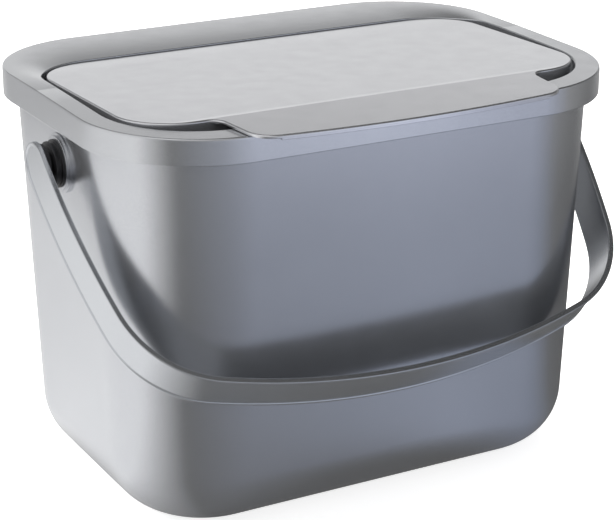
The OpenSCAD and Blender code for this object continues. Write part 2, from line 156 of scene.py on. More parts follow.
def soften(rings: np.ndarray, reach: np.ndarray | float, steps: int = 4, loop: bool = False) -> np.ndarray:
    """Rounds the edges between the faces of a stack of rings.

    Each corner ring P becomes the curve (1-t)^2 A + 2t(1-t) P + t^2 B, where A and B lie at the
    reach from P towards its neighbours. One more ring before A and one after B keep the flat
    faces flat in the shading.

    Args:
        rings: corner rings, of shape (k, n, 3).
        reach: how far the rounding runs along the faces, for all rings, for each, or for each point.
        steps: stretches of each curve.
        loop: whether the last ring joins the first. If not, these two stay as they are.

    Returns:
        The rounded rings, of shape (m, n, 3).
    """
    reach = np.asarray(reach, float)
    reach = np.broadcast_to(reach if reach.ndim == 2 else np.reshape(reach, (-1, 1)), rings.shape[:2])[..., None]
    ways = []
    for shift in (1, -1):
        way = np.roll(rings, shift, axis=0) - rings
        length = np.linalg.norm(way, axis=2, keepdims=True)
        ways.append(way / np.maximum(length, 1e-9) * np.minimum(reach, SHARE_OF_SHORT_FACE * length))
    back, ahead = ways
    t = np.linspace(0, 1, steps + 1)[None, :, None, None]
    start, middle, end = (part[:, None] for part in (rings + back, rings, rings + ahead))
    curve = (1 - t) ** 2 * start + 2 * t * (1 - t) * middle + t ** 2 * end
    rows = np.concatenate(((rings + HOLD * back)[:, None], curve, (rings + HOLD * ahead)[:, None]), axis=1)
    if loop:
        return rows.reshape(-1, *rings.shape[1:])
    inner = rows[1:-1].reshape(-1, *rings.shape[1:])
    return np.concatenate((rings[:1], inner, rings[-1:]))


def mirrored(half_rings: np.ndarray) -> np.ndarray:
    """Closes half rings: the right half from back to front, then its mirror image back again."""
    return np.concatenate((half_rings, half_rings[:, ::-1] * (-1, 1, 1)), axis=1)


def skin_faces(rows: int, columns: int, loop: bool) -> np.ndarray:
    """Numbers the quads of a stack of closed rings, with outward faces.

    A quad joins the points (k, i), (k+1, i), (k+1, i+1) and (k, i+1). Without a loop, the first
    and the last ring are closed by strips from each point to its mirror image.

    Args:
        rows: number of rings.
        columns: points in each ring.
        loop: whether the last ring joins the first.

    Returns:
        An array of shape (faces, 4).
    """
    k, i = np.meshgrid(np.arange(rows if loop else rows - 1), np.arange(columns), indexing="ij")
    k, i = k.ravel(), i.ravel()
    above, beside = (k + 1) % rows, (i + 1) % columns
    wall = np.column_stack((k * columns + i, above * columns + i, above * columns + beside, k * columns + beside))
    if loop:
        return wall
    j = np.arange(columns // 2 - 1)
    strip = np.column_stack((j, j + 1, columns - 2 - j, columns - 1 - j))
    return np.concatenate((wall, strip, strip[:, ::-1] + (rows - 1) * columns))


def link(name: str, data: bpy.types.ID) -> bpy.types.Object:
    """Makes an object of some data at the origin and links it to the scene.

    Args:
        name: the object's name.
        data: its mesh, lamp or camera.

    Returns:
        The new object.
    """
    made = bpy.data.objects.new(name, data)
    bpy.context.scene.collection.objects.link(made)
    return made


def make_mesh(name: str, points: np.ndarray | list, faces: list) -> bpy.types.Mesh:
    """Makes a mesh from points and the numbers of each face's corners.

    Args:
        name: the mesh's name.
        points: corner points, in metres.
        faces: for each face, the numbers of its corners.

    Returns:
        The new mesh.
    """
    mesh = bpy.data.meshes.new(name)
    mesh.from_pydata(points, [], faces)
    mesh.validate()
    return mesh


def make_piece(name: str, rings: np.ndarray, loop: bool = False) -> bpy.types.Object:
    """Makes a mesh object from a stack of closed rings.

    Args:
        name: the object's name.
        rings: points of shape (rows, columns, 3), in metres.
        loop: whether the last ring joins the first.

    Returns:
        The new object, at the origin.
    """
    rows, columns, _ = rings.shape
    return link(name, make_mesh(name, rings.reshape(-1, 3), skin_faces(rows, columns, loop).tolist()))


def smooth(piece: bpy.types.Object, sharp: float) -> None:
    """Shades a piece smooth, apart from edges that turn by more than an angle.

    Args:
        piece: the object, whose mesh is changed.
        sharp: smallest angle of an edge that stays sharp.
    """
    mesh = piece.data
    mesh.polygons.foreach_set("use_smooth", np.ones(len(mesh.polygons), bool))
    mesh.set_sharp_from_angle(angle=sharp)
    mesh.update()


def gather(piece: bpy.types.Object, parts: Sequence[bpy.types.Object]) -> None:
    """Adds the closed shells of parts, which reach into the piece, to its mesh, and removes the parts.

    Args:
        piece: the object that grows.
        parts: objects at the origin.
    """
    joined = bmesh.new()
    joined.from_mesh(piece.data)
    for part in parts:
        joined.from_mesh(part.data)
        bpy.data.objects.remove(part)
    joined.to_mesh(piece.data)
    joined.free()


def cut(piece: bpy.types.Object, tools: Sequence[bpy.types.Object]) -> None:
    """Cuts tools out of a single closed shell, and removes the tools.

    Args:
        piece: the object that is changed.
        tools: closed meshes.
    """
    for tool in tools:
        step = piece.modifiers.new("cut", "BOOLEAN")
        step.operation = "DIFFERENCE"
        step.solver = "EXACT"
        step.object = tool
        graph = bpy.context.evaluated_depsgraph_get()
        result = bpy.data.meshes.new_from_object(piece.evaluated_get(graph))
        piece.modifiers.clear()
        old, piece.data = piece.data, result
        bpy.data.meshes.remove(old)
        bpy.data.objects.remove(tool)
    merged = bmesh.new()
    merged.from_mesh(piece.data)
    bmesh.ops.remove_doubles(merged, verts=merged.verts[:], dist=MERGE_DISTANCE)
    merged.to_mesh(piece.data)
    merged.free()


def turned(name: str, centre: np.ndarray, side: Side, profile: Sequence[tuple[float, float]],
           reach: float, bored: bool = False) -> bpy.types.Object:
    """Turns a profile round an axis along X: the point (x, r) gives (x, r sin a, r cos a).

    Args:
        name: the object's name.
        centre: a point of the axis, of which Y and Z count.
        side: the left side gets the mirror image.
        profile: distances from the middle of the caddy and radii, in metres, running outwards
            over the outer faces, and back through the bore if there is one.
        reach: size of the rounded edges.
        bored: whether the profile is closed round a bore.

    Returns:
        The new object.
    """
    line = np.array(profile, float)
    angle = (np.arange(FACES_ALL_ROUND) + 0.5) * 2 * np.pi / FACES_ALL_ROUND
    x = np.broadcast_to(line[:, :1], (len(line), FACES_ALL_ROUND))
    corners = np.stack((x, centre[1] + line[:, 1:] * np.sin(angle), centre[2] + line[:, 1:] * np.cos(angle)), axis=2)
    rings = soften(corners, reach, loop=bored)
    if side is Side.LEFT:
        rings = rings[:, ::-1] * (-1, 1, 1)
    return make_piece(name, rings, loop=bored)


def block(name: str, low: Sequence[float], high: Sequence[float], reach: float = 0.3 * MM) -> bpy.types.Object:
    """A box with rounded upright faces, as four rings of a rectangle between two corners.

    Args:
        name: the object's name.
        low: the lowest corner.
        high: the highest corner.
        reach: size of the rounded edges.

    Returns:
        The new object.
    """
    (x0, y0, z0), (x1, y1, z1) = low, high
    half = (x1 - x0) / 2
    inset = min(reach, 0.3 * half)
    plan = np.array([[half - inset, y1], [half, y1 - inset], [half, y0 + inset], [half - inset, y0]])
    small = np.array([[half - 2 * inset, y1 - inset], [half - inset, y1 - 2 * inset],
                      [half - inset, y0 + 2 * inset], [half - 2 * inset, y0 + inset]])
    rings = np.stack([at_height(small, z0), at_height(plan, z0 + inset), at_height(plan, z1 - inset),
                      at_height(small, z1)])
    return make_piece(name, mirrored(rings) + ((x0 + x1) / 2, 0, 0))


# ---------------------------------------------------------------- finishes

class Nodes:
    """Short way to add and join the nodes of one tree."""

    def __init__(self, tree: bpy.types.NodeTree) -> None:
        """Takes up a tree and gets its Object coordinates and directions.

        Args:
            tree: the node tree to add to.
        """
        self.tree = tree
        place = self.add("ShaderNodeTexCoord").outputs
        self.where, self.direction = place["Object"], place["Generated"]

    def put(self, node: bpy.types.Node, socket: str | int, value: object) -> bpy.types.Node:
        """Joins an output to a node's input, or sets the input to a value, and returns the node.

        Args:
            node: the node that is changed.
            socket: name or number of the input.
            value: an output to join to it, or a value.

        Returns:
            The same node.
        """
        if isinstance(value, Socket):
            self.tree.links.new(value, node.inputs[socket])
        else:
            node.inputs[socket].default_value = value
        return node

    def add(self, kind: str, **settings: object) -> bpy.types.Node:
        """Adds a node; a setting is a property, or else the value or the source of an input.

        Args:
            kind: the node's type.
            settings: by name, with an underscore for a space.

        Returns:
            The new node.
        """
        node = self.tree.nodes.new(kind)
        for key, value in settings.items():
            if hasattr(node, key):
                setattr(node, key, value)
            else:
                self.put(node, key.replace("_", " "), value)
        return node

    def noise(self, size: float, detail: float = 2.0, stretch: tuple[float, float, float] = (1, 1, 1)) -> Socket:
        """Gives a noise of a feature size in metres, drawn out along the axes by a stretch."""
        place = self.add("ShaderNodeMapping", Scale=[1 / (size * s) for s in stretch], Vector=self.where)
        return self.add("ShaderNodeTexNoise", Scale=1.0, Detail=detail, Vector=place.outputs[0]).outputs["Fac"]

    def spread(self, source: Socket, low: float, high: float, start: float = 0.0, stop: float = 1.0) -> Socket:
        """Maps a value from start..stop to low..high, held at both ends."""
        return self.add("ShaderNodeMapRange", From_Min=start, From_Max=stop, To_Min=low, To_Max=high,
                        Value=source).outputs[0]

    def math(self, operation: str, *values: Socket | float) -> Socket:
        """Adds a Math node on outputs or numbers.

        Args:
            operation: the node's operation.
            values: what it works on, in order.

        Returns:
            Its output.
        """
        step = self.add("ShaderNodeMath", operation=operation)
        for place, value in enumerate(values):
            self.put(step, place, value)
        return step.outputs[0]

    def mix(self, first: object, second: object, factor: Socket | float = 1.0, blend: str = "MIX") -> Socket:
        """Mixes two colours, each an output or a value with alpha.

        Args:
            first: the colour at a factor of 0.
            second: the colour at a factor of 1, or the one blended in.
            factor: share of the second.
            blend: way of blending.

        Returns:
            The mixed colour.
        """
        step = self.add("ShaderNodeMix", data_type="RGBA", blend_type=blend, Factor=factor)
        self.put(step, 6, first)
        return self.put(step, 7, second).outputs[2]

    def bump(self, height: Socket, distance: float, strength: float = 1.0) -> Socket:
        """Gives the normal of a bump with a height."""
        return self.add("ShaderNodeBump", Distance=distance, Strength=strength, Height=height).outputs[0]

    def by_ray(self, plain: Socket, mirrored_one: Socket) -> Socket:
        """Gives one shader for most rays, and another for glossy and transmission rays.

        Args:
            plain: shader for most rays.
            mirrored_one: shader for what is mirrored.

        Returns:
            The joined shader.
        """
        path = self.add("ShaderNodeLightPath").outputs
        ray = self.math("MAXIMUM", path["Is Glossy Ray"], path["Is Transmission Ray"])
        mix = self.put(self.add("ShaderNodeMixShader"), 0, ray)
        self.put(mix, 1, plain)
        return self.put(mix, 2, mirrored_one).outputs[0]


class Skin(Nodes):
    """Nodes of one material, round its Principled shader."""

    def __init__(self, name: str) -> None:
        """Starts a material.

        Args:
            name: the material's name.
        """
        self.material = bpy.data.materials.new(name)
        self.material.use_nodes = True
        super().__init__(self.material.node_tree)
        self.shader = self.tree.nodes["Principled BSDF"]

    def finish(self, **inputs: object) -> bpy.types.Material:
        """Joins or sets inputs of the shader, and returns the material.

        Args:
            inputs: by name, with an underscore for a space.

        Returns:
            The finished material.
        """
        for key, value in inputs.items():
            self.put(self.shader, key.replace("_", " "), value)
        return self.material


@dataclass(frozen=True)
class SatinPlastic:
    """Satin moulded plastic with a metallic pigment: clouded colour, flecks, fine grain and scuffs."""

    name: str
    colour: Colour
    metal: float = 0.88
    rough: float = 0.24
    haze: float = 0.015                   # change of the roughness in slow patches
    cloud: float = 0.012
    cloud_size: float = 45 * MM
    fleck: float = 0.03
    fleck_size: float = 0.35 * MM
    grain_size: float = 0.4 * MM
    grain_depth: float = 0.001 * MM
    scuff: float = 0.006
    scuff_rough: float = 0.02

    def build(self) -> bpy.types.Material:
        """Makes the material.

        Colour is the base colour times one plus clouds, flecks and scuffs; roughness follows the
        same patterns, and a fine grain gives the bump.

        Returns:
            The new material.
        """
        n = Skin(self.name)
        clouds = n.spread(n.noise(self.cloud_size, 3.0), 1 - self.cloud, 1 + self.cloud, 0.3, 0.7)
        cells = n.add("ShaderNodeTexVoronoi", Scale=1 / self.fleck_size, Vector=n.where).outputs["Color"]
        bright = n.put(n.add("ShaderNodeSeparateColor"), 0, cells).outputs[0]
        flecks = n.spread(bright, 1 - self.fleck, 1 + self.fleck)
        lines, patches = n.noise(1.6 * MM, 2.0, (14, 14, 0.7)), n.noise(22 * MM, 1.0)
        scuffs = n.math("MULTIPLY", n.spread(lines, 0, 1, 0.62, 0.72), n.spread(patches, 0, 1, 0.5, 0.7))
        tone = n.math("ADD", n.math("MULTIPLY", clouds, flecks), n.math("MULTIPLY", scuffs, self.scuff))
        haze = n.spread(n.noise(9 * MM, 4.0), self.rough - self.haze, self.rough + self.haze, 0.3, 0.7)
        return n.finish(Metallic=self.metal, Base_Color=n.mix((*self.colour, 1), tone, blend="MULTIPLY"),
                        Roughness=n.math("ADD", haze, n.math("MULTIPLY", scuffs, self.scuff_rough)),
                        Normal=n.bump(n.noise(self.grain_size, 3.0), self.grain_depth))


@dataclass(frozen=True)
class BlackPlastic:
    """Black moulded plastic with a dull, slightly dusty skin."""

    name: str
    colour: Colour = (0.018, 0.018, 0.020)
    rough: float = 0.42
    dust: float = 0.012
    grain_size: float = 0.3 * MM
    grain_depth: float = 0.01 * MM

    def build(self) -> bpy.types.Material:
        """Makes the material: dust noise lifts the colour and the roughness, fine grain the bump.

        Returns:
            The new material.
        """
        n = Skin(self.name)
        dusty = n.noise(3 * MM, 5.0)
        dust = (self.dust, self.dust, self.dust, 1)
        return n.finish(Base_Color=n.mix((*self.colour, 1), dust, n.spread(dusty, 0, 1, 0.45, 0.8), "ADD"),
                        Roughness=n.spread(dusty, self.rough - 0.06, self.rough + 0.08, 0.3, 0.8),
                        Normal=n.bump(n.noise(self.grain_size, 2.0), self.grain_depth))


@dataclass(frozen=True)
class DrawnSteel:
    """Bright drawn wire: fine lines along X in the roughness and the bump."""

    name: str
    colour: Colour = (0.60, 0.60, 0.62)
    rough: float = 0.28
    line_size: float = 0.08 * MM
    line_depth: float = 0.01 * MM

    def build(self) -> bpy.types.Material:
        """Makes the material: noise drawn out along the wire gives its lines.

        Returns:
            The new material.
        """
        n = Skin(self.name)
        lines = n.noise(self.line_size, 3.0, (60, 1, 1))
        tint = n.mix((*self.colour, 1), n.spread(lines, 0.85, 1.0, 0.3, 0.7), blend="MULTIPLY")
        return n.finish(Metallic=1.0, Base_Color=tint,
                        Roughness=n.spread(lines, self.rough - 0.08, self.rough + 0.1, 0.3, 0.7),
                        Normal=n.bump(lines, self.line_depth, 0.6))


Table = tuple[tuple[float, float | Colour], ...]


@dataclass(frozen=True)
class PaintedSurroundings:
    """Painted reflection that the glossy caddy mirrors: a painted white sweep behind and at the left, and a painted dim
    room at the front and right, seen only by glossy and transmission rays.

    Each table gives greys or colours at azimuths in degrees, 0 in front and -90 at the left.
    """

    near: Table = (
        (-180, 0.85), (-150, 0.92), (-120, 1.1), (-79, 1.15), (-51, 0.15), (-12, (0.25, 0.265, 0.31)),
        (28, (0.38, 0.415, 0.51)), (48, (0.29, 0.32, 0.40)), (66, 0.16), (90, 0.12), (130, 0.18), (155, 0.5),
        (180, 0.85))
    far: Table = (
        (-180, 0.7), (-150, 0.5), (-120, 0.9), (-79, 1.1), (-51, 0.2), (-12, (0.43, 0.455, 0.52)),
        (27, (0.91, 0.965, 1.14)), (38, (0.55, 0.59, 0.72)), (60, 0.35), (90, 0.2), (140, 0.55), (160, 1.0),
        (180, 0.7))
    low_sky: Table = (
        (-180, 0.65), (-150, 0.45), (-120, 0.9), (-79, 0.9), (-51, 0.3), (-12, 0.42), (28, (0.90, 0.95, 1.09)),
        (60, 0.35), (90, 0.2), (126, 0.3), (142, 0.86), (172, 0.86), (180, 0.65))
    high_sky: Table = (
        (-180, 0.14), (-150, 0.2), (-125, 0.8), (-60, 0.9), (-10, 0.6), (30, 0.15), (60, 0.05), (160, 0.05),
        (180, 0.14))
    painted_contact_shade: float = 0.14                 # painted contact shadow: the reflected floor goes this dark right at the base
    painted_contact_reach: tuple[float, float] = (0.08, 0.14)
    near_reach: float = 0.38              # metres from the middle of the caddy
    far_reach: float = 0.75
    sweep_top: tuple[float, float] = (0.255, 0.41)   # sine of the elevations where the painted white sweep fades

    @staticmethod
    def azimuth(n: Nodes, x: Socket, y: Socket) -> Socket:
        """Gives the azimuth of a point as 0 to 1 for -180 to 180 degrees."""
        turn = n.math("ARCTAN2", x, n.math("MULTIPLY", y, -1.0))
        return n.math("MULTIPLY_ADD", turn, 0.5 / math.pi, 0.5)

    @staticmethod
    def ramp(n: Nodes, turn: Socket, table: Table) -> Socket:
        """Reads a table of colours at an azimuth.

        Args:
            n: the nodes to add to.
            turn: azimuth from 0 to 1.
            table: greys or colours at azimuths in degrees.

        Returns:
            The colour there.
        """
        node = n.add("ShaderNodeValToRGB", Fac=turn)
        stops = node.color_ramp.elements
        while len(stops) < len(table):
            stops.new(0.5)
        for stop, (azimuth, colour) in zip(stops, table):
            stop.position = azimuth / 360 + 0.5
            stop.color = (*(colour if isinstance(colour, tuple) else (colour,) * 3), 1)
        return node.outputs["Color"]

    @staticmethod
    def blend(n: Nodes, value: Socket, limits: tuple[float, float], first: Socket, second: object) -> Socket:
        """Goes smoothly from one colour to another while a value runs between two limits.

        Args:
            n: the nodes to add to.
            value: what the change follows.
            limits: values where it starts and ends.
            first: colour at the start.
            second: colour at the end.

        Returns:
            The blended colour.
        """
        step = n.add("ShaderNodeMapRange", interpolation_type="SMOOTHSTEP", From_Min=limits[0],
                     From_Max=limits[1], Value=value)
        return n.mix(first, second, step.outputs[0])

    def painted_floor_reflection(self, n: Nodes) -> Socket:
        """Gives the painted reflection of the floor from the azimuth and the distance of a floor point.

        Args:
            n: the nodes to add to.

        Returns:
            The colour.
        """
        split = n.put(n.add("ShaderNodeSeparateXYZ"), 0, n.where).outputs
        turn = self.azimuth(n, split[0], split[1])
        away = n.put(n.add("ShaderNodeVectorMath", operation="LENGTH"), 0, n.where).outputs["Value"]
        # painted reflection: mirrored tone and tint of the floor by azimuth, from near to far
        paper = self.blend(n, away, (self.near_reach, self.far_reach),
                           self.ramp(n, turn, self.near), self.ramp(n, turn, self.far))
        # painted contact shadow: the reflected floor darkens close to the base
        return self.blend(n, away, self.painted_contact_reach[::-1], paper, (self.painted_contact_shade, self.painted_contact_shade, self.painted_contact_shade, 1))

    def painted_sky_reflection(self, n: Nodes) -> Socket:
        """Gives the painted reflection of the room from the direction, dimmer above the low sweep.

        Args:
            n: the nodes to add to.

        Returns:
            The colour.
        """
        split = n.put(n.add("ShaderNodeSeparateXYZ"), 0, n.direction).outputs
        turn = self.azimuth(n, split[0], split[1])
        # painted reflection of the room: brighter low sweep, dimmer overhead
        return self.blend(n, split[2], self.sweep_top, self.ramp(n, turn, self.low_sky),
                          self.ramp(n, turn, self.high_sky))


@dataclass(frozen=True)
class StudioPaper:
    """White paper floor: it keeps the shadow, glows white to the camera, and shows glossy and transmission rays a
    painted reflection.
    """

    name: str
    painted_surroundings: PaintedSurroundings
    colour: float = 0.80
    mottle: float = 0.01
    glow: float = 0.80

    def build(self) -> bpy.types.Material:
        """Makes the material.

        Returns:
            Paper with a glow for camera rays, and a glowing painted reflection for glossy and transmission rays.
        """
        n = Skin(self.name)
        seen = n.add("ShaderNodeLightPath").outputs["Is Camera Ray"]
        paper = n.finish(
            Roughness=0.9, Specular_IOR_Level=0.1, Emission_Color=(1, 1, 1, 1),
            Base_Color=n.spread(n.noise(0.4, 2.0), self.colour - self.mottle, self.colour + self.mottle),
            Emission_Strength=n.math("MULTIPLY", seen, self.glow))
        # painted reflection: an emission that only glossy and transmission rays see
        mirror = n.add("ShaderNodeEmission", Color=self.painted_surroundings.painted_floor_reflection(n)).outputs[0]
        n.put(n.tree.nodes["Material Output"], "Surface", n.by_ray(n.shader.outputs[0], mirror))
        return paper


FINISHES = {
    Slot.BUCKET: SatinPlastic("bucket satin", (0.575, 0.585, 0.61)),
    Slot.COLLAR: SatinPlastic("collar satin", (0.565, 0.575, 0.595), rough=0.2),
    Slot.LID: SatinPlastic("lid satin", (0.635, 0.64, 0.665), rough=0.2),
    Slot.HANDLE: SatinPlastic("handle satin", (0.565, 0.58, 0.605), rough=0.2),
    Slot.BLACK: BlackPlastic("black plastic"),
    Slot.STEEL: DrawnSteel("drawn steel"),
}


class Dresser:
    """Gives each finished piece its material, its body and the node that it stands for."""

    def __init__(self) -> None:
        """Builds every finish once."""
        self.materials = {slot: finish.build() for slot, finish in FINISHES.items()}

    def dress(self, piece: bpy.types.Object, slot: Slot, body: Body, node: str, sharp: float = SHARP_ANGLE) -> None:
        """Finishes a piece.

        Args:
            piece: the object, in its place.
            slot: the record's material slot.
            body: the body that it rides on.
            node: the CAD node that it replaces.
            sharp: smallest angle of an edge that stays sharp.
        """
        piece.data.materials.clear()
        piece.data.materials.append(self.materials[slot])
        smooth(piece, sharp)
        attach(piece, body.value)
        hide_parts(node)
        LOG.info("%s: %d faces, stands for %s", piece.name, len(piece.data.polygons), node)


# ---------------------------------------------------------------- caddy

@dataclass
class Pivots:
    """Stack of parts between the bucket wall and each handle arm."""

    wall_face: float                       # outer face of the bucket at the pivot
    inner_face: float                      # face of the pad inside the bucket
    centre: np.ndarray = field(default_factory=lambda: joint_point("handle_swing"))
    flange_out: float = 2.2 * MM
    flange_r: float = 13.2 * MM
    flange_step: float = 1.2 * MM
    pad_r: float = 9.6 * MM
    disc_r: float = 10.6 * MM
    disc_t: float = 0.9 * MM
    waist_r: float = 9.1 * MM
    waist_t: float = 1.9 * MM
    rim_r: float = 10 * MM
    rim_t: float = 0.8 * MM
    sleeve_r: float = 6.6 * MM
    pin_r: float = 4.7 * MM
    pin_gap: float = 1.85 * MM
    pin_collar_r: float = 9.3 * MM
    pin_collar_t: float = 2.2 * MM
    socket: float = 1.1 * MM
    clip_r: float = 8.4 * MM
    clip_t: float = 1.4 * MM
    pin_tail: float = 0.8 * MM
    run: float = 0.05 * MM
    bore_room: float = 0.5 * MM            # of the hole in the wall, hidden inside the flange
    flange_edge: float = 0.2 * MM
    bush_edge: float = 0.22 * MM
    pin_edge: float = 0.25 * MM

    @property
    def flange_face(self) -> float:
        """Outer face of the flange."""
        return self.wall_face + self.flange_out

    @property
    def bush_face(self) -> float:
        """Outer face of the bush."""
        return self.flange_face + self.disc_t + self.waist_t + self.rim_t

    @property
    def arm_face(self) -> float:
        """Inner face of the handle arm."""
        return self.bush_face + self.pin_gap + self.pin_collar_t

    def boss(self, side: Side) -> bpy.types.Object:
        """Makes the pad and the stepped flange of the bucket wall.

        Args:
            side: left or right.

        Returns:
            The new object.
        """
        middle = (self.wall_face + self.inner_face) / 2
        step = self.flange_face - self.flange_out / 2
        profile = [(self.inner_face, self.pad_r), (middle, self.pad_r), (middle, self.flange_r), (step, self.flange_r),
                   (step, self.flange_r - self.flange_step), (self.flange_face, self.flange_r - self.flange_step)]
        bore = self.sleeve_r + NEAR
        profile = [(self.inner_face, bore), *profile, (self.flange_face, bore)]
        return turned("boss", self.centre, side, profile, self.flange_edge, bored=True)

    def bore(self, side: Side) -> bpy.types.Object:
        """Makes the cutter that opens the wall inside a flange.

        Args:
            side: left or right.

        Returns:
            The new cutter.
        """
        r = self.sleeve_r + self.bore_room
        ends = [(self.inner_face - OVERCUT, r), (self.flange_face + OVERCUT, r)]
        return turned("bore", self.centre, side, ends, 0)

    def bush(self, side: Side) -> bpy.types.Object:
        """Makes a bush: a sleeve in the wall, a disc on the flange, a waist and an outer disc.

        Args:
            side: left or right.

        Returns:
            The new object.
        """
        disc = self.flange_face + self.disc_t
        waist = disc + self.waist_t
        bore = self.pin_r + self.run
        profile = [(self.inner_face, bore), (self.inner_face, self.sleeve_r), (self.flange_face, self.sleeve_r),
                   (self.flange_face, self.disc_r), (disc, self.disc_r), (disc, self.waist_r), (waist, self.waist_r),
                   (waist, self.rim_r), (self.bush_face, self.rim_r), (self.bush_face, bore)]
        return turned(f"pivot_bush_{side.name.lower()}_look", self.centre, side, profile, self.bush_edge, bored=True)

    def pin(self, side: Side) -> bpy.types.Object:
        """Makes a pin with its round collar against the arm.

        Args:
            side: left or right.

        Returns:
            The new object.
        """
        tail = self.inner_face - SEAT_GAP - self.clip_t - self.pin_tail
        face = self.bush_face + self.pin_gap
        profile = [(tail, 0.5 * self.pin_r), (tail, self.pin_r), (face, self.pin_r), (face, self.pin_collar_r),
                   (self.arm_face, self.pin_collar_r), (self.arm_face, self.pin_r),
                   (self.arm_face + self.socket, self.pin_r), (self.arm_face + self.socket, 0.5 * self.pin_r)]
        return turned(f"pivot_pin_{side.name.lower()}_look", self.centre, side, profile, self.pin_edge)

    def clip(self, side: Side) -> bpy.types.Object:
        """Makes the push-on clip inside the bucket.

        Args:
            side: left or right.

        Returns:
            The new object.
        """
        outer = self.inner_face - SEAT_GAP
        bore = self.pin_r + NEAR
        profile = [(outer - self.clip_t, bore), (outer - self.clip_t, self.clip_r), (outer, self.clip_r), (outer, bore)]
        return turned(f"pivot_clip_{side.name.lower()}_look", self.centre, side, profile, self.pin_edge, bored=True)

    def build(self, dresser: Dresser) -> None:
        """Makes the bush, the pin and the clip of both sides.

        Args:
            dresser: finishes each piece.
        """
        for side in Side:
            end = side.name.lower()
            dresser.dress(self.bush(side), Slot.BLACK, Body.BUCKET, f"pivot_bush_{end}")
            dresser.dress(self.pin(side), Slot.BLACK, Body.HANDLE, f"pivot_pin_{end}")
            dresser.dress(self.clip(side), Slot.BLACK, Body.HANDLE, f"pivot_clip_{end}")


def rounded_half(half: float, front: float, back: float, front_r: float, back_r: float,
                 stations: Sequence[float] = (), steps: int = 20) -> np.ndarray:
    """Right half of a rounded rectangle, from its back edge round to its front edge.

    Args:
        half: half width.
        front: place of the front edge.
        back: place of the back edge.
        front_r: radius of the front corner.
        back_r: radius of the back corner.
        stations: places along Y where the straight side gets a point, from back to front.
        steps: stretches of each corner.

    Returns:
        Points of shape (n, 2).
    """
    side = np.array([[half, y] for y in stations]).reshape(-1, 2)
    return np.concatenate((arc((half - back_r, back - back_r), back_r, 90, 0, steps), side,
                           arc((half - front_r, front + front_r), front_r, 0, -90, steps)))


@dataclass
class Bucket:
    """Tapered bucket with a round lower edge, a rim bead and a stepped flange for each pivot."""

    taper_w: float = 13.8 * MM
    taper_d: float = 18.4 * MM
    mouth_corner_r: float = 54.6 * MM
    taper_corner_r: float = 10.6 * MM
    round_r: float = 27.3 * MM
    wall: float = 2.2 * MM
    floor_t: float = 2.6 * MM
    bead_out: float = 1.7 * MM
    bead_h: float = 2.6 * MM
    groove: float = 0.8 * MM
    groove_w: float = 3 * MM
    groove_inset: float = 9 * MM
    groove_edge: float = 0.25 * MM
    rim_edge: float = 0.5 * MM

    def __post_init__(self) -> None:
        """Takes the size of the mouth and the rim's height from the CAD node."""
        low, high = node_box("bucket")
        self.rim_z = float(high[2])
        self.mouth_half_w = float(high[0]) - self.bead_out
        self.mouth_half_d = float(high[1]) - self.bead_out

    def sizes(self, z: float) -> tuple[float, float, float]:
        """Half width, half depth and corner radius at a height, each falling evenly to the base.

        Args:
            z: height above the base.

        Returns:
            The three sizes, in metres.
        """
        down = 1 - z / self.rim_z
        return (self.mouth_half_w - self.taper_w / 2 * down, self.mouth_half_d - self.taper_d / 2 * down,
                self.mouth_corner_r - self.taper_corner_r * down)

    def ring(self, z: float, inset: float, place: float | None = None) -> np.ndarray:
        """Half ring at the height z, drawn in by an inset, with the sizes of the height place.

        Args:
            z: height of the ring.
            inset: how far it is drawn in.
            place: height that gives its sizes, if not z.

        Returns:
            Points of shape (n, 3).
        """
        w, d, r = self.sizes(z if place is None else place)
        half = rounded_half(w - inset, inset - d, d - inset, r - inset, r - inset, (0.0,), 24)
        return at_height(half, z)

    def fillet(self, depth: float, bottom: float, steps: int) -> list[np.ndarray]:
        """Rings of the round lower edge, with z = bottom + R (1 - cos a) and inset depth + R (1 - sin a).

        Args:
            depth: distance in from the outer wall.
            bottom: height of its lowest ring.
            steps: stretches of the quarter turn.

        Returns:
            The rings, from the lowest up.
        """
        radius = self.round_r - depth
        angles = np.radians(np.linspace(0, 90, steps + 1))
        return [self.ring(bottom + radius * (1 - math.cos(a)), depth + radius * (1 - math.sin(a))) for a in angles]

    def shell(self) -> bpy.types.Object:
        """Makes the bucket without its flanges: out over the base, up the wall, and down inside.

        Returns:
            The new object.
        """
        edge = self.round_r
        outer, inner = edge + self.groove_inset, edge + self.groove_inset + self.groove_w
        base = soften(np.stack([self.ring(0, inner + self.groove_w, 0), self.ring(0, inner, 0),
                                self.ring(self.groove, inner, 0), self.ring(self.groove, outer, 0),
                                self.ring(0, outer, 0), self.ring(0, edge, 0)]), self.groove_edge)
        under = self.rim_z - self.bead_h
        out = np.stack(self.fillet(0, 0, 18))
        rim = soften(np.stack([
            self.ring(0.5 * self.rim_z, 0), self.ring(under, 0), self.ring(under, -self.bead_out, self.rim_z),
            self.ring(self.rim_z, -self.bead_out), self.ring(self.rim_z, self.wall),
            self.ring(0.5 * self.rim_z, self.wall)]), self.rim_edge)
        down = np.stack(self.fillet(self.wall, self.floor_t, 14))[::-1]
        return make_piece("bucket_look", mirrored(np.concatenate((base, out[1:], rim, down))))

    def build(self, dresser: Dresser, pivots: Pivots) -> None:
        """Makes the bucket, cuts the wall open inside its flanges and adds the bored flanges.

        Args:
            dresser: finishes the piece.
            pivots: gives the flanges and their bores.
        """
        piece = self.shell()
        cut(piece, [pivots.bore(side) for side in Side])
        gather(piece, [pivots.boss(side) for side in Side])
        dresser.dress(piece, Slot.BUCKET, Body.BUCKET, "bucket")


class Edge(Enum):
    """Outline that a ring of the collar follows."""

    SKIRT = "skirt"
    RECESS = "recess"
    THROAT = "throat"


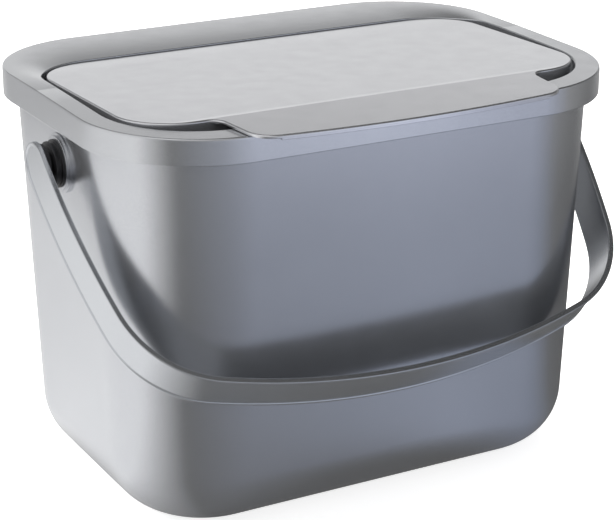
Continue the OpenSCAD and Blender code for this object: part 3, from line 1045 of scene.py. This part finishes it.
@dataclass
class Hinge:
    """Hidden hinge of the lid, under the back band of the collar."""

    axis: np.ndarray = field(default_factory=lambda: joint_point("lid_hinge"))
    x: float = 54 * MM
    pin_r: float = 1 * MM
    knuckle_r: float = 2.1 * MM
    knuckle_len: float = 10 * MM
    ear_t: float = 3 * MM
    gap: float = 0.4 * MM
    arm_t: float = 3 * MM
    arm_room: float = 0.8 * MM
    tail_angle: float = -100.0
    stem_angle: float = -103.0
    stem_t: float = 3.4 * MM
    arm_edge: float = 0.4 * MM
    eye_edge: float = 0.2 * MM
    eye_room: float = 0.1 * MM              # between an eye's bore and the block on it
    knuckle_run: float = 0.06 * MM

    @property
    def ear_from(self) -> float:
        """Distance from the middle of a hinge to its ears."""
        return self.knuckle_len / 2 + self.gap

    def eye(self, name: str, side: Side, start: float, length: float, bore: float) -> bpy.types.Object:
        """Makes a bored eye round the axis, a length long from a distance from the middle of the caddy.

        Args:
            name: the object's name.
            side: left or right.
            start: distance of its near end from the middle of the caddy.
            length: its length.
            bore: radius of its bore.

        Returns:
            The new object.
        """
        stop = start + length
        profile = [(start, bore), (start, self.knuckle_r), (stop, self.knuckle_r), (stop, bore)]
        return turned(name, self.axis, side, profile, self.eye_edge, bored=True)

    def pin(self, side: Side) -> bpy.types.Object:
        """Makes a hinge pin with chamfered ends.

        Args:
            side: left or right.

        Returns:
            The new object.
        """
        half = self.ear_from + self.ear_t
        profile = [(self.x - half, 0.5 * self.pin_r), (self.x - half, self.pin_r),
                   (self.x + half, self.pin_r), (self.x + half, 0.5 * self.pin_r)]
        return turned(f"hinge_pin_{side.name.lower()}_look", self.axis, side, profile, 0.15 * MM)

    def build(self, dresser: Dresser) -> None:
        """Makes both pins."""
        for side in Side:
            dresser.dress(self.pin(side), Slot.STEEL, Body.COLLAR, f"hinge_pin_{side.name.lower()}")


@dataclass
class Collar:
    """Collar with a wide top band, a skirt over the bucket rim and a recess for the lid."""

    skirt_t: float = 2 * MM
    skirt_h: float = 12.7 * MM
    front_r: float = 55 * MM
    back_r: float = 51.5 * MM
    plate_t: float = 2.7 * MM
    plate_fall: float = 1.3 * MM
    crease_y: float = 9.5 * MM
    side_band: float = 10 * MM
    front_band: float = 12 * MM
    back_band: float = 39 * MM
    recess_front_r: float = 44 * MM
    recess_back_r: float = 31 * MM
    recess_wall: float = 1.8 * MM
    recess_depth: float = 11.8 * MM
    ledge_t: float = 2 * MM
    ledge_w: float = 6 * MM
    back_ledge_w: float = 12 * MM
    ring_t: float = 2.2 * MM
    ring_h: float = 9 * MM
    ring_clear: float = 0.6 * MM
    post_w: float = 12 * MM
    post_x: float = 60 * MM
    back_ribs: int = 5
    back_rib_pitch: float = 36 * MM
    back_rib_t: float = 1.6 * MM
    edge_r: float = 1.1 * MM
    small_r: float = 0.4 * MM
    crown_drop: float = 1.42 * MM            # of the back band, which curves down to the lid
    crown_rows: int = 6
    crease_depth: float = 0.05 * MM

    def __post_init__(self) -> None:
        """Takes the outline and the top from the CAD node."""
        low, high = node_box("collar")
        self.half_w, self.half_d, self.top = float(high[0]), float(high[1]), float(high[2])
        self.recess_half_w = self.half_w - self.side_band
        self.recess_front = self.front_band - self.half_d
        self.recess_back = self.half_d - self.back_band
        self.plate_under = self.top - self.plate_t
        self.ledge_top = self.top - self.recess_depth
        self.slope = self.plate_fall / (self.half_d + self.crease_y)

    def plan(self, edge: Edge, inset: float) -> np.ndarray:
        """Half outline of the skirt, the recess or the throat, drawn in (out for the openings) by an inset.

        Args:
            edge: which outline.
            inset: how far it moves.

        Returns:
            Points of shape (n, 2).
        """
        near = 0.8 * MM
        stations = (self.crease_y + near, self.crease_y, self.crease_y - near, -12 * MM)
        if edge is Edge.SKIRT:
            sizes = (self.half_w - inset, inset - self.half_d, self.half_d - inset,
                     self.front_r - inset, self.back_r - inset)
        elif edge is Edge.RECESS:
            sizes = (self.recess_half_w + inset, self.recess_front - inset, self.recess_back + inset,
                     self.recess_front_r + inset, self.recess_back_r + inset)
        else:
            sizes = (self.recess_half_w - self.ledge_w + inset, self.recess_front + self.ledge_w - inset,
                     self.recess_back - self.back_ledge_w + inset,
                     self.recess_front_r - self.ledge_w + inset, self.recess_back_r - self.ledge_w + inset)
        return rounded_half(*sizes, stations=stations, steps=24)

    def top_z(self, half: np.ndarray) -> np.ndarray:
        """Height of the top: level behind the crease, a fine groove on it, and an even fall to the front edge.

        Args:
            half: points of shape (n, 2).

        Returns:
            The height at each point.
        """
        ahead = self.crease_y - half[:, 1]
        groove = self.crease_depth * (np.abs(ahead) < 0.1 * MM)
        return self.top - self.slope * np.maximum(ahead, 0) - groove

    def ring(self, edge: Edge, inset: float, z: float | None = None) -> np.ndarray:
        """Half ring on an outline, at a height, or else on the sloping top."""
        half = self.plan(edge, inset)
        return at_height(half, self.top_z(half) if z is None else z)

    def frame_shell(self) -> bpy.types.Object:
        """Makes the closed profile: up the skirt, in over the top, down the recess and back under it.

        Returns:
            The new object.
        """
        bottom = self.top - self.skirt_h
        ledge_under = self.ledge_top - self.ledge_t
        corners = [
            (self.ring(Edge.SKIRT, 0, bottom), self.small_r),
            (self.ring(Edge.SKIRT, 0), self.edge_r),
            *[(self.band(t), 20 * MM) for t in np.linspace(0, 1, self.crown_rows + 2)[1:-1]],
            (self.band(1.0), self.small_r),
            (self.ring(Edge.RECESS, 0, self.ledge_top), self.small_r),
            (self.ring(Edge.THROAT, 0, self.ledge_top), self.small_r),
            (self.ring(Edge.THROAT, 0, ledge_under), self.small_r),
            (self.ring(Edge.RECESS, self.recess_wall, ledge_under), self.small_r),
            (self.ring(Edge.RECESS, self.recess_wall, self.plate_under), self.small_r),
            (self.ring(Edge.SKIRT, self.skirt_t, self.plate_under), self.small_r),
            (self.ring(Edge.SKIRT, self.skirt_t, bottom), self.small_r),
        ]
        rings = soften(np.stack([c[0] for c in corners]), np.array([c[1] for c in corners]), loop=True)
        return make_piece("collar_look", mirrored(rings), loop=True)

    def band(self, t: float) -> np.ndarray:
        """Half ring on the top band, a share t of the way from the skirt to the recess.

        Behind the lid the band curves down: the height falls by drop * t^2, times a smooth step
        that fades the curve out round the back corners.

        Args:
            t: 0 at the skirt and 1 at the recess.

        Returns:
            The points of the ring.
        """
        half = (1 - t) * self.plan(Edge.SKIRT, 0) + t * self.plan(Edge.RECESS, 0)
        start = self.recess_back - self.recess_back_r
        step = np.clip((self.plan(Edge.RECESS, 0)[:, 1] - start) / (0.75 * self.recess_back_r), 0, 1)
        fade = step * step * (3 - 2 * step)
        return at_height(half, self.top_z(half) - self.crown_drop * t * t * fade)

    def bag_ring(self, bucket: Bucket) -> bpy.types.Object:
        """Makes the ring that presses the bag against the bucket.

        Args:
            bucket: gives the wall that it follows.

        Returns:
            The new object.
        """
        bottom = self.plate_under - self.ring_h
        top = self.plate_under + 0.5 * self.plate_t
        outer, inner = bucket.wall + self.ring_clear, bucket.wall + self.ring_clear + self.ring_t
        corners = [bucket.ring(bottom, outer), bucket.ring(top, outer, bottom),
                   bucket.ring(top, inner, bottom), bucket.ring(bottom, inner)]
        return make_piece("bag_ring", mirrored(soften(np.stack(corners), self.small_r, loop=True)), loop=True)

    def ribs(self, bucket: Bucket) -> list[bpy.types.Object]:
        """Makes the stiffeners between the recess wall and the bag ring.

        Args:
            bucket: gives the wall that they reach to.

        Returns:
            The new objects.
        """
        bottom = self.plate_under - self.ring_h
        back = bucket.sizes(bottom)[1] - bucket.wall - self.ring_clear - 0.5 * self.ring_t
        places = (np.arange(self.back_ribs) - (self.back_ribs - 1) / 2) * self.back_rib_pitch
        half = self.back_rib_t / 2
        return [block("rib", (x - half, self.recess_back + 0.5 * self.recess_wall, bottom + 0.01 * MM),
                      (x + half, back, self.plate_under + 0.5 * self.plate_t)) for x in places]

    def posts(self, lid_front: float, lid_wall: float, lid_edge: float) -> list[bpy.types.Object]:
        """Makes the two posts that carry the front wall of the lid.

        Args:
            lid_front: place of the front of the lid's wall.
            lid_wall: thickness of that wall.
            lid_edge: height of the top of the posts.

        Returns:
            The new objects.
        """
        under = self.ledge_top - self.ledge_t
        return [block("post", (side.value * self.post_x - self.post_w / 2, self.recess_front - 0.5 * self.recess_wall,
                               under + NEAR),
                      (side.value * self.post_x + self.post_w / 2, lid_front + lid_wall + 1 * MM, lid_edge))
                for side in Side]

    def ears(self, hinge: Hinge) -> list[bpy.types.Object]:
        """Makes the eyes of the hinge with the blocks that carry them.

        Args:
            hinge: gives the axis and the sizes.

        Returns:
            The new objects.
        """
        made = []
        bore = hinge.pin_r + NEAR
        for side in Side:
            for near in (hinge.ear_from, -hinge.ear_from - hinge.ear_t):
                x = hinge.x + near
                made.append(hinge.eye("eye", side, x, hinge.ear_t, bore))
                x0, x1 = sorted((side.value * x, side.value * (x + hinge.ear_t)))
                low = (x0, hinge.axis[1] - hinge.knuckle_r, hinge.axis[2] + bore + hinge.eye_room)
                high = (x1, hinge.axis[1] + hinge.knuckle_r, self.plate_under + 0.5 * self.plate_t)
                made.append(block("ear", low, high, 0.1 * MM))
        return made

    def slots(self, hinge: Hinge, arm_out_r: float) -> list[bpy.types.Object]:
        """Makes the cutters for the slots that the hinge arms swing in.

        Args:
            hinge: gives the axis and the sizes.
            arm_out_r: outer radius of the hinge arms.

        Returns:
            The new cutters.
        """
        return [block("slot", (side.value * hinge.x - hinge.ear_from, hinge.axis[1] - arm_out_r - hinge.gap,
                               self.ledge_top - self.ledge_t - OVERCUT),
                      (side.value * hinge.x + hinge.ear_from, self.recess_back + self.recess_wall + OVERCUT,
                       self.plate_under - 0.01 * MM), 0.05 * MM) for side in Side]

    def build(self, dresser: Dresser, bucket: Bucket, lid: "Lid", hinge: Hinge) -> None:
        """Makes the frame with its slots, and adds the ring, the ribs, the posts and the ears.

        Args:
            dresser: finishes the piece.
            bucket: gives the wall that the ring follows.
            lid: gives the posts and the slots their sizes.
            hinge: gives the ears and the slots their place.
        """
        piece = self.frame_shell()
        cut(piece, self.slots(hinge, lid.arm_radii()[1]))
        gather(piece, [self.bag_ring(bucket), *self.ribs(bucket), *self.ears(hinge),
                       *self.posts(lid.front, lid.wall, lid.wall_edge(lid.front))])
        dresser.dress(piece, Slot.COLLAR, Body.COLLAR, "collar")


@dataclass
class Lid:
    """Flush lid with a finger lip, drawn level and then tilted about its back edge."""

    collar: Collar
    hinge: Hinge
    skin: float = 1.5 * MM
    sink: float = 1.5 * MM                   # of the back edge below the collar
    tilt: float = math.radians(1.11)
    gap_side: float = 3.4 * MM
    gap_back: float = 1.5 * MM
    gap_front: float = 10.5 * MM
    front_r: float = 27 * MM
    back_r: float = 26 * MM
    wall_h: float = 4 * MM
    wall: float = 1.5 * MM
    lip_half_w: float = 75 * MM
    lip_reach: float = 13.4 * MM
    lip_bow_r: float = 515 * MM
    lip_corner_r: float = 12 * MM
    notch_r: float = 6.5 * MM
    notch_out: float = 1.5 * MM              # of the notch beyond the half width of the lip
    side_turn: float = 4.5                   # degrees by which the sides of the lip draw in
    lip_slope: float = math.radians(2.1)
    bead_h: float = 0.7 * MM
    bead_w: float = 2 * MM
    rib_x: float = 38 * MM
    edge_r: float = 0.75 * MM
    hold: float = 0.35 * MM
    ramp_w: float = 2.6 * MM                 # the surface rises a little just behind the fold
    ramp_h: float = 0.17 * MM
    crown: float = 18 * MM                   # how far the back edge falls away in a slight curve
    crown_drop: float = 0.35 * MM
    wall_edge_r: float = 0.3 * MM
    bead_edge: float = 0.25 * MM
    hook_rings: int = 29

    def __post_init__(self) -> None:
        """Works out the outline from the recess of the collar."""
        c = self.collar
        self.half_w = c.recess_half_w - self.gap_side
        self.back = c.recess_back - self.gap_back
        self.front = c.recess_front + self.gap_front
        self.tip = -c.half_d - self.lip_reach
        self.fold = self.front + self.edge_r + self.hold
        self.top = c.top - self.sink

    def wall_edge(self, y: float) -> float:
        """Height of the post under the lid's lower wall edge at a depth, less the seat gap."""
        drop = (self.skin + self.wall_h) * math.cos(self.tilt)
        return self.top - drop + (self.back - y) * math.sin(self.tilt) - SEAT_GAP

    def body(self, inset: float) -> np.ndarray:
        """Half outline without the lip, drawn in by an inset."""
        return rounded_half(self.half_w - inset, self.front + inset, self.back - inset,
                            self.front_r - inset, self.back_r - inset, (0.0,), 24)

    def plan(self, inset: float) -> np.ndarray:
        """Half outline with the lip, drawn in by an inset.

        The round corners lose the inset from their radii and the hollow notch gains it. The
        order is back corner, side, front corner, notch, lip corner and bowed tip.

        Args:
            inset: how far each edge moves inwards.

        Returns:
            Points of shape (n, 2).
        """
        body = self.body(inset)
        notch = arc((self.lip_half_w + self.notch_out + self.notch_r, self.front - self.notch_r),
                    self.notch_r + inset, 90, 180 - self.side_turn, 12)
        bow = (0.0, self.tip + self.lip_bow_r)
        corner_x = self.lip_half_w - self.lip_corner_r
        corner = (corner_x, bow[1] - math.sqrt((self.lip_bow_r - self.lip_corner_r) ** 2 - corner_x ** 2))
        turn = math.degrees(math.atan2(corner[1] - bow[1], corner[0] - bow[0]))
        round_corner = arc(corner, self.lip_corner_r - inset, -self.side_turn, turn, 10)
        tip = arc(bow, self.lip_bow_r - inset, turn, -90, 16)
        return np.concatenate((body, notch[1:], round_corner, tip[1:-1]))

    def settle(self, rings: np.ndarray) -> np.ndarray:
        """Folds the lip down, adds the rise behind the fold and the curved back edge, and tilts the whole.

        Args:
            rings: points in the level frame, with z = 0 at the top.

        Returns:
            The points in their place.
        """
        x, y, z = np.moveaxis(rings, -1, 0)
        z = z - np.maximum(self.fold - y, 0) * math.tan(self.lip_slope)
        z = z - self.crown_drop * (np.maximum(y - self.back + self.crown, 0) / self.crown) ** 2
        z = z + self.ramp_h * (np.clip((self.fold + self.ramp_w - y) / self.ramp_w, 0, 1) - 1)
        back = y - self.back
        turned_y = self.back + back * math.cos(self.tilt) + z * math.sin(self.tilt)
        turned_z = self.top - back * math.sin(self.tilt) + z * math.cos(self.tilt)
        return np.stack((x, turned_y, turned_z), axis=-1)

    def sheet(self) -> bpy.types.Object:
        """Makes the skin with its rounded edge.

        Returns:
            The new object.
        """
        low = -self.skin
        inner = self.edge_r + self.hold
        quarter = np.radians(np.linspace(0, 90, 11))
        small = 0.3 * MM
        levels = [(inner, low), (small, low), (0.09 * MM, low + 0.09 * MM), (0, low + small)]
        levels += [(self.edge_r * (1 - math.cos(a)), self.edge_r * (math.sin(a) - 1)) for a in quarter]
        levels += [(inner, 0)]
        rings = np.stack([at_height(self.plan(t), z) for t, z in levels])
        return make_piece("lid_look", self.settle(mirrored(rings)))

    def rim_wall(self) -> bpy.types.Object:
        """Makes the wall under the skin, along the plain outline without the lip.

        Returns:
            The new object.
        """
        low, high = -self.skin - self.wall_h, -0.5 * self.skin
        section = [(NEAR, low), (NEAR, high), (self.wall, high), (self.wall, low)]
        corners = np.stack([at_height(self.body(inset), z) for inset, z in section])
        rings = soften(corners, self.wall_edge_r, loop=True)
        return make_piece("rim", self.settle(mirrored(rings)), loop=True)

    def bead(self) -> bpy.types.Object:
        """Makes the bead under the bowed front edge, whose section is a rounded box.

        Returns:
            The new object.
        """
        bow = (0.0, self.tip + self.lip_bow_r)
        corner_x = self.lip_half_w - self.lip_corner_r
        turn = -90 + math.degrees(math.asin(corner_x / (self.lip_bow_r - self.lip_corner_r)))
        span = turn + 90

        low, high = -self.skin - self.bead_h, -0.5 * self.skin
        section = [(NEAR, low), (NEAR, high), (self.bead_w, high), (self.bead_w, low)]
        corners = np.stack([at_height(arc(bow, self.lip_bow_r - inset, -90 - span, -90 + span, 32), z)
                            for inset, z in section])
        rings = soften(corners, self.bead_edge, loop=True)
        return tube_along("bead", self.settle(rings))

    def rib(self, x: float) -> bpy.types.Object:
        """Makes one of the ribs under the skin.

        Args:
            x: its distance to the right of the middle.

        Returns:
            The new object.
        """
        half = self.wall / 2
        piece = block("rib", (x - half, self.front + half, -self.skin - self.wall_h + 1 * MM),
                      (x + half, self.back - half, -0.5 * self.skin))
        points = np.empty(len(piece.data.vertices) * 3)
        piece.data.vertices.foreach_get("co", points)
        piece.data.vertices.foreach_set("co", self.settle(points.reshape(-1, 3)).ravel())
        return piece

    def arm_radii(self) -> tuple[float, float]:
        """Inner and outer radius of the hooked arms, outside the path of the plate edge.

        Returns:
            The two radii, in metres.
        """
        c, h = self.collar, self.hinge
        inner = math.hypot(h.axis[1] - c.recess_back, c.top - h.axis[2]) + h.arm_room
        return inner, inner + h.arm_t

    def arms(self) -> list[bpy.types.Object]:
        """Makes the two hooked arms with their stems and knuckles.

        Returns:
            The new objects.
        """
        h = self.hinge
        inner, outer = self.arm_radii()
        top = math.degrees(math.asin((self.top - self.skin - h.axis[2]) / inner))
        made = []
        for side in Side:
            x0, x1 = side.value * h.x - h.knuckle_len / 2, side.value * h.x + h.knuckle_len / 2
            # a section on the arc: the radius runs from inner to outer, the width from x0 to x1
            angle = np.radians(np.linspace(h.tail_angle, top, self.hook_rings))
            section = [(x0, inner), (x0, outer), (x1, outer), (x1, inner)]
            corners = np.stack([np.column_stack((np.full(self.hook_rings, x), h.axis[1] - r * np.cos(angle),
                                                 h.axis[2] + r * np.sin(angle))) for x, r in section])
            made.append(tube_along("hook", soften(corners, h.arm_edge, loop=True)))
            way = np.array([0, -math.cos(math.radians(h.stem_angle)), math.sin(math.radians(h.stem_angle))])
            across = np.array([0, way[2], -way[1]]) * h.stem_t / 2
            middle = np.array([0, h.axis[1], h.axis[2]])
            bore = h.pin_r + h.knuckle_run
            ends = np.linspace((bore + h.knuckle_r) / 2, (inner + outer) / 2, 3)[:, None] * way + middle
            faces = [(x0, -1), (x0, 1), (x1, 1), (x1, -1)]
            corners = np.stack([ends + across * s + (x, 0, 0) for x, s in faces])
            made.append(tube_along("stem", soften(corners, h.arm_edge, loop=True)))
            made.append(h.eye("knuckle", side, h.x - h.knuckle_len / 2, h.knuckle_len, bore))
        return made

    def build(self, dresser: Dresser) -> None:
        """Makes the lid with its wall, ribs, bead and hinge arms.

        Args:
            dresser: finishes the piece.
        """
        piece = self.sheet()
        ribs = [self.rib(x) for x in (-self.rib_x, 0.0, self.rib_x)]
        gather(piece, [self.rim_wall(), self.bead(), *ribs, *self.arms()])
        dresser.dress(piece, Slot.LID, Body.LID, "lid", sharp=FINE_SHARP_ANGLE)


def tube_along(name: str, lines: np.ndarray) -> bpy.types.Object:
    """Closes a bundle of lines, each of which runs the length of a bar, into a capped bar.

    Args:
        name: the object's name.
        lines: points of shape (around, along, 3), the lines being in order round the section.

    Returns:
        The new object, with outward faces.
    """
    around, along, _ = lines.shape
    i, j = np.meshgrid(np.arange(around), np.arange(along - 1), indexing="ij")
    i, j = i.ravel(), j.ravel()
    k = (i + 1) % around
    walls = np.column_stack((i * along + j, i * along + j + 1, k * along + j + 1, k * along + j))
    first = (np.arange(around) * along).tolist()
    last = (np.arange(around) * along + along - 1).tolist()[::-1]
    mesh = make_mesh(name, lines.reshape(-1, 3), [*walls.tolist(), first, last])
    face_out(mesh)
    return link(name, mesh)


def face_out(mesh: bpy.types.Mesh) -> None:
    """Turns the faces of a closed mesh outwards.

    The sum of a . (b x c) / 6 over its triangles is above zero if they point out already.

    Args:
        mesh: the mesh, which is changed.
    """
    mesh.calc_loop_triangles()
    corners = np.empty(len(mesh.loop_triangles) * 3, np.int32)
    mesh.loop_triangles.foreach_get("vertices", corners)
    points = np.empty(len(mesh.vertices) * 3)
    mesh.vertices.foreach_get("co", points)
    a, b, c = np.moveaxis(points.reshape(-1, 3)[corners.reshape(-1, 3)], 1, 0)
    if np.einsum("ij,ij->", a, np.cross(b, c)) < 0:
        mesh.flip_normals()


@dataclass
class Handle:
    """Strap handle: a flat stadium with raised rims, bent along a path of three arcs a side."""

    pivots: Pivots
    strap_w: float = 21.4 * MM
    strap_t: float = 2.5 * MM
    rim_w: float = 1.3 * MM
    rim_h: float = 0.5 * MM
    arm_bow_r: float = 450 * MM
    bend_r: float = 49.5 * MM
    grip_bow_r: float = 328 * MM
    hang: float = math.radians(42.4)
    core_in: float = 2.2 * MM               # of the innermost ring, from the raised rim

    def __post_init__(self) -> None:
        """Takes the width over the arms from the pivots and the reach from the CAD node."""
        self.arm_outer = self.pivots.arm_face + self.strap_t
        low, _ = node_box("handle")
        upper_edge = self.strap_w / 2 * math.sin(self.hang)
        self.reach = (self.pivots.centre[1] - low[1] - upper_edge) / math.cos(self.hang)

    def path(self) -> tuple[np.ndarray, np.ndarray]:
        """Points and tangents of the outer face in the plane of the handle, from right to left.

        Three arcs that touch each other make the right half: the bow of the arm, the bend and
        half of the bow of the grip. The left half is the mirror image.

        Returns:
            Points and unit tangents, each of shape (n, 2), evenly spaced.
        """
        arm = np.array([self.arm_outer - self.arm_bow_r, 0.0])
        grip = np.array([0.0, self.reach - self.grip_bow_r])
        r, s = self.arm_bow_r - self.bend_r, self.grip_bow_r - self.bend_r
        gap = np.linalg.norm(grip - arm)
        along = (gap ** 2 + r ** 2 - s ** 2) / (2 * gap)
        unit = (grip - arm) / gap
        bend = arm + along * unit + math.sqrt(r ** 2 - along ** 2) * np.array([-unit[1], unit[0]])
        first = math.atan2(*(bend - arm)[::-1])
        second = math.atan2(*(bend - grip)[::-1])
        arcs = [(arm, self.arm_bow_r, 0.0, first), (bend, self.bend_r, first, second),
                (grip, self.grip_bow_r, second, math.pi / 2)]
        points, angles = [], []
        for centre, radius, start, stop in arcs:
            count = max(2, round(radius * (stop - start) / (1.6 * MM)))
            angle = np.linspace(start, stop, count + 1)[1 if points else 0:]
            points.append(centre + radius * np.column_stack((np.cos(angle), np.sin(angle))))
            angles.append(angle)
        right, turn = np.concatenate(points), np.concatenate(angles)
        way = np.column_stack((-np.sin(turn), np.cos(turn)))
        left = right[-2::-1] * (-1, 1)
        left_way = way[-2::-1] * (1, -1)
        return np.concatenate((right, left)), np.concatenate((way, left_way))

    def plan(self, inset: float, lengths: np.ndarray) -> np.ndarray:
        """Half of a stadium drawn in by an inset: a quarter turn, the long edge, a quarter turn.

        Args:
            inset: distance from the edge of the strap.
            lengths: distances along the path where the long edge has points.

        Returns:
            Points (across, along), of shape (n, 2).
        """
        r = self.strap_w / 2 - inset
        first = arc((0.0, lengths[-1]), r, 88, 0, 14)
        last = arc((0.0, lengths[0]), r, 0, -88, 14)
        edge = np.column_stack((np.full(len(lengths) - 2, r), lengths[-2:0:-1]))
        return np.concatenate((first, edge, last))

    def build(self, dresser: Dresser) -> None:
        """Makes the strap flat, bends it along the path and hangs it from the pivots.

        Args:
            dresser: finishes the piece.
        """
        points, ways = self.path()
        lengths = np.concatenate(([0], np.cumsum(np.linalg.norm(np.diff(points, axis=0), axis=1))))
        core = self.rim_w + self.core_in
        levels = [(core, -self.strap_t, 0), (0, -self.strap_t, 0.5 * MM), (0, 0, 0.45 * MM),
                  (self.rim_w, 0, 0.35 * MM), (self.rim_w + 0.25 * MM, -self.rim_h, 0.25 * MM),
                  (core, -self.rim_h, 0)]
        rings = np.stack([at_height(self.plan(t, lengths), z) for t, z, _ in levels])
        rings = mirrored(soften(rings, np.array([r for _, _, r in levels])))
        across, along, depth = np.moveaxis(rings, -1, 0)
        inside = np.clip(along, 0, lengths[-1])
        past = along - inside
        place = np.stack([np.interp(inside, lengths, points[:, k]) for k in (0, 1)], axis=-1)
        way = np.stack([np.interp(inside, lengths, ways[:, k]) for k in (0, 1)], axis=-1)
        way /= np.linalg.norm(way, axis=-1, keepdims=True)
        out = np.stack((way[..., 1], -way[..., 0]), axis=-1)
        flat = place + past[..., None] * way + depth[..., None] * out
        forward = np.array([0, -math.cos(self.hang), -math.sin(self.hang)])
        upward = np.array([0, -math.sin(self.hang), math.cos(self.hang)])
        world = (flat[..., :1] * (1, 0, 0) + flat[..., 1:] * forward + across[..., None] * upward
                 + np.array([0, *self.pivots.centre[1:]]))
        piece = make_piece("handle_look", world)
        face_out(piece.data)
        dresser.dress(piece, Slot.HANDLE, Body.HANDLE, "handle")


# ---------------------------------------------------------------- studio

@dataclass
class Camera:
    """Camera that sees the caddy from the angle of the photograph, a little above its front left corner."""

    azimuth: float = math.radians(-28.33)
    elevation: float = math.radians(20.126)
    roll: float = math.radians(-0.151)
    distance: float = 0.9499
    target: tuple[float, float, float] = (-0.00371, 0.0018, 0.08644)
    image: tuple[int, int] = (614, 520)
    focal_px: float = 2022.31                 # focal length in pixels of the photograph
    centre_px: tuple[float, float] = (293.50, 267.06)   # where the lens axis meets the photograph
    sensor: float = 36.0

    def build(self) -> None:
        """Makes the camera and the scene's view settings."""
        back = np.array([math.sin(self.azimuth) * math.cos(self.elevation),
                         -math.cos(self.azimuth) * math.cos(self.elevation), math.sin(self.elevation)])
        right = np.array([math.cos(self.azimuth), math.sin(self.azimuth), 0])
        up = np.cross(back, right)
        turned_right = math.cos(self.roll) * right + math.sin(self.roll) * up
        turned_up = -math.sin(self.roll) * right + math.cos(self.roll) * up
        data = bpy.data.cameras.new("photo camera")
        data.sensor_fit = "HORIZONTAL"
        data.sensor_width = self.sensor
        data.lens = self.focal_px * self.sensor / self.image[0]
        data.shift_x = (self.image[0] / 2 - self.centre_px[0]) / self.image[0]
        data.shift_y = (self.centre_px[1] - self.image[1] / 2) / self.image[0]
        data.clip_start = 0.01
        camera = link("photo camera", data)
        place = np.array(self.target) + back * self.distance
        matrix = np.eye(4)
        matrix[:3, :4] = np.column_stack((turned_right, turned_up, back, place))
        camera.matrix_world = Matrix(matrix.tolist())
        bpy.context.scene.camera = camera
        bpy.context.scene.view_settings.view_transform = "Standard"


@dataclass(frozen=True)
class Softbox:
    """Square lamp that looks at the caddy from a direction."""

    name: str
    azimuth: float        # degrees, 0 in front and -90 on the left
    elevation: float      # degrees above level
    distance: float
    size: tuple[float, float]
    watts: float

    def build(self) -> None:
        """Makes the lamp."""
        data = bpy.data.lights.new(self.name, "AREA")
        data.shape = "RECTANGLE"
        data.size, data.size_y = self.size
        data.energy = self.watts
        az, el = math.radians(self.azimuth), math.radians(self.elevation)
        way = Vector((math.sin(az) * math.cos(el), -math.cos(az) * math.cos(el), math.sin(el)))
        lamp = link(self.name, data)
        lamp.location = Vector((0, 0, 0.1)) + way * self.distance
        lamp.rotation_euler = way.to_track_quat("Z", "Y").to_euler()
        lamp.visible_glossy = False          # lamps stay out of reflections; glossy rays see only the painted reflections


@dataclass
class Studio:
    """Pale floor, soft lamps and a painted reflection of a room around them."""

    painted_surroundings: PaintedSurroundings = field(default_factory=PaintedSurroundings)
    floor_half: float = 6.0
    fill: float = 0.42
    lamps: tuple[Softbox, ...] = (
        Softbox("back left softbox", -130, 45, 2.2, (1.8, 1.8), 60),
        Softbox("top softbox", 160, 68, 2.0, (1.8, 1.8), 28),
    )

    def floor(self) -> None:
        """Makes the floor: a square just under the base."""
        h = self.floor_half
        mesh = make_mesh("floor", [(-h, -h, 0), (h, -h, 0), (h, h, 0), (-h, h, 0)], [(0, 1, 2, 3)])
        mesh.materials.append(StudioPaper("studio paper", self.painted_surroundings).build())
        link("floor", mesh)

    def world(self) -> None:
        """Makes a world that is white to the camera, a painted reflection of a room to glossy and transmission rays,
        and else a dim fill.
        """
        world = bpy.data.worlds.new("studio")
        bpy.context.scene.world = world
        world.use_nodes = True
        n = Nodes(world.node_tree)
        seen = n.add("ShaderNodeLightPath").outputs["Is Camera Ray"]
        plain = n.put(n.tree.nodes["Background"], "Color", (1, 1, 1, 1))
        n.put(plain, "Strength", n.math("MAXIMUM", seen, self.fill))
        # painted reflection of a room, seen only by glossy and transmission rays
        room = n.add("ShaderNodeBackground", Color=self.painted_surroundings.painted_sky_reflection(n))
        n.put(n.tree.nodes["World Output"], "Surface", n.by_ray(plain.outputs[0], room.outputs[0]))

    def build(self) -> None:
        """Makes the floor, the world and the lamps."""
        self.floor()
        self.world()
        for lamp in self.lamps:
            lamp.build()


def main() -> None:
    """Builds the caddy and the studio."""
    logging.basicConfig(level=logging.INFO, format="%(name)s: %(message)s")
    Camera().build()
    dresser = Dresser()
    bucket = Bucket()
    centre = joint_point("handle_swing")
    flange_r = Pivots.flange_r
    pivots = Pivots(wall_face=bucket.sizes(centre[2])[0],
                    inner_face=bucket.sizes(centre[2] - flange_r)[0] - bucket.wall - SEAT_GAP)
    collar = Collar()
    hinge = Hinge()
    lid = Lid(collar, hinge)
    bucket.build(dresser, pivots)
    collar.build(dresser, bucket, lid, hinge)
    lid.build(dresser)
    hinge.build(dresser)
    pivots.build(dresser)
    Handle(pivots).build(dresser)
    Studio().build()


if __name__ == "__main__":
    main()
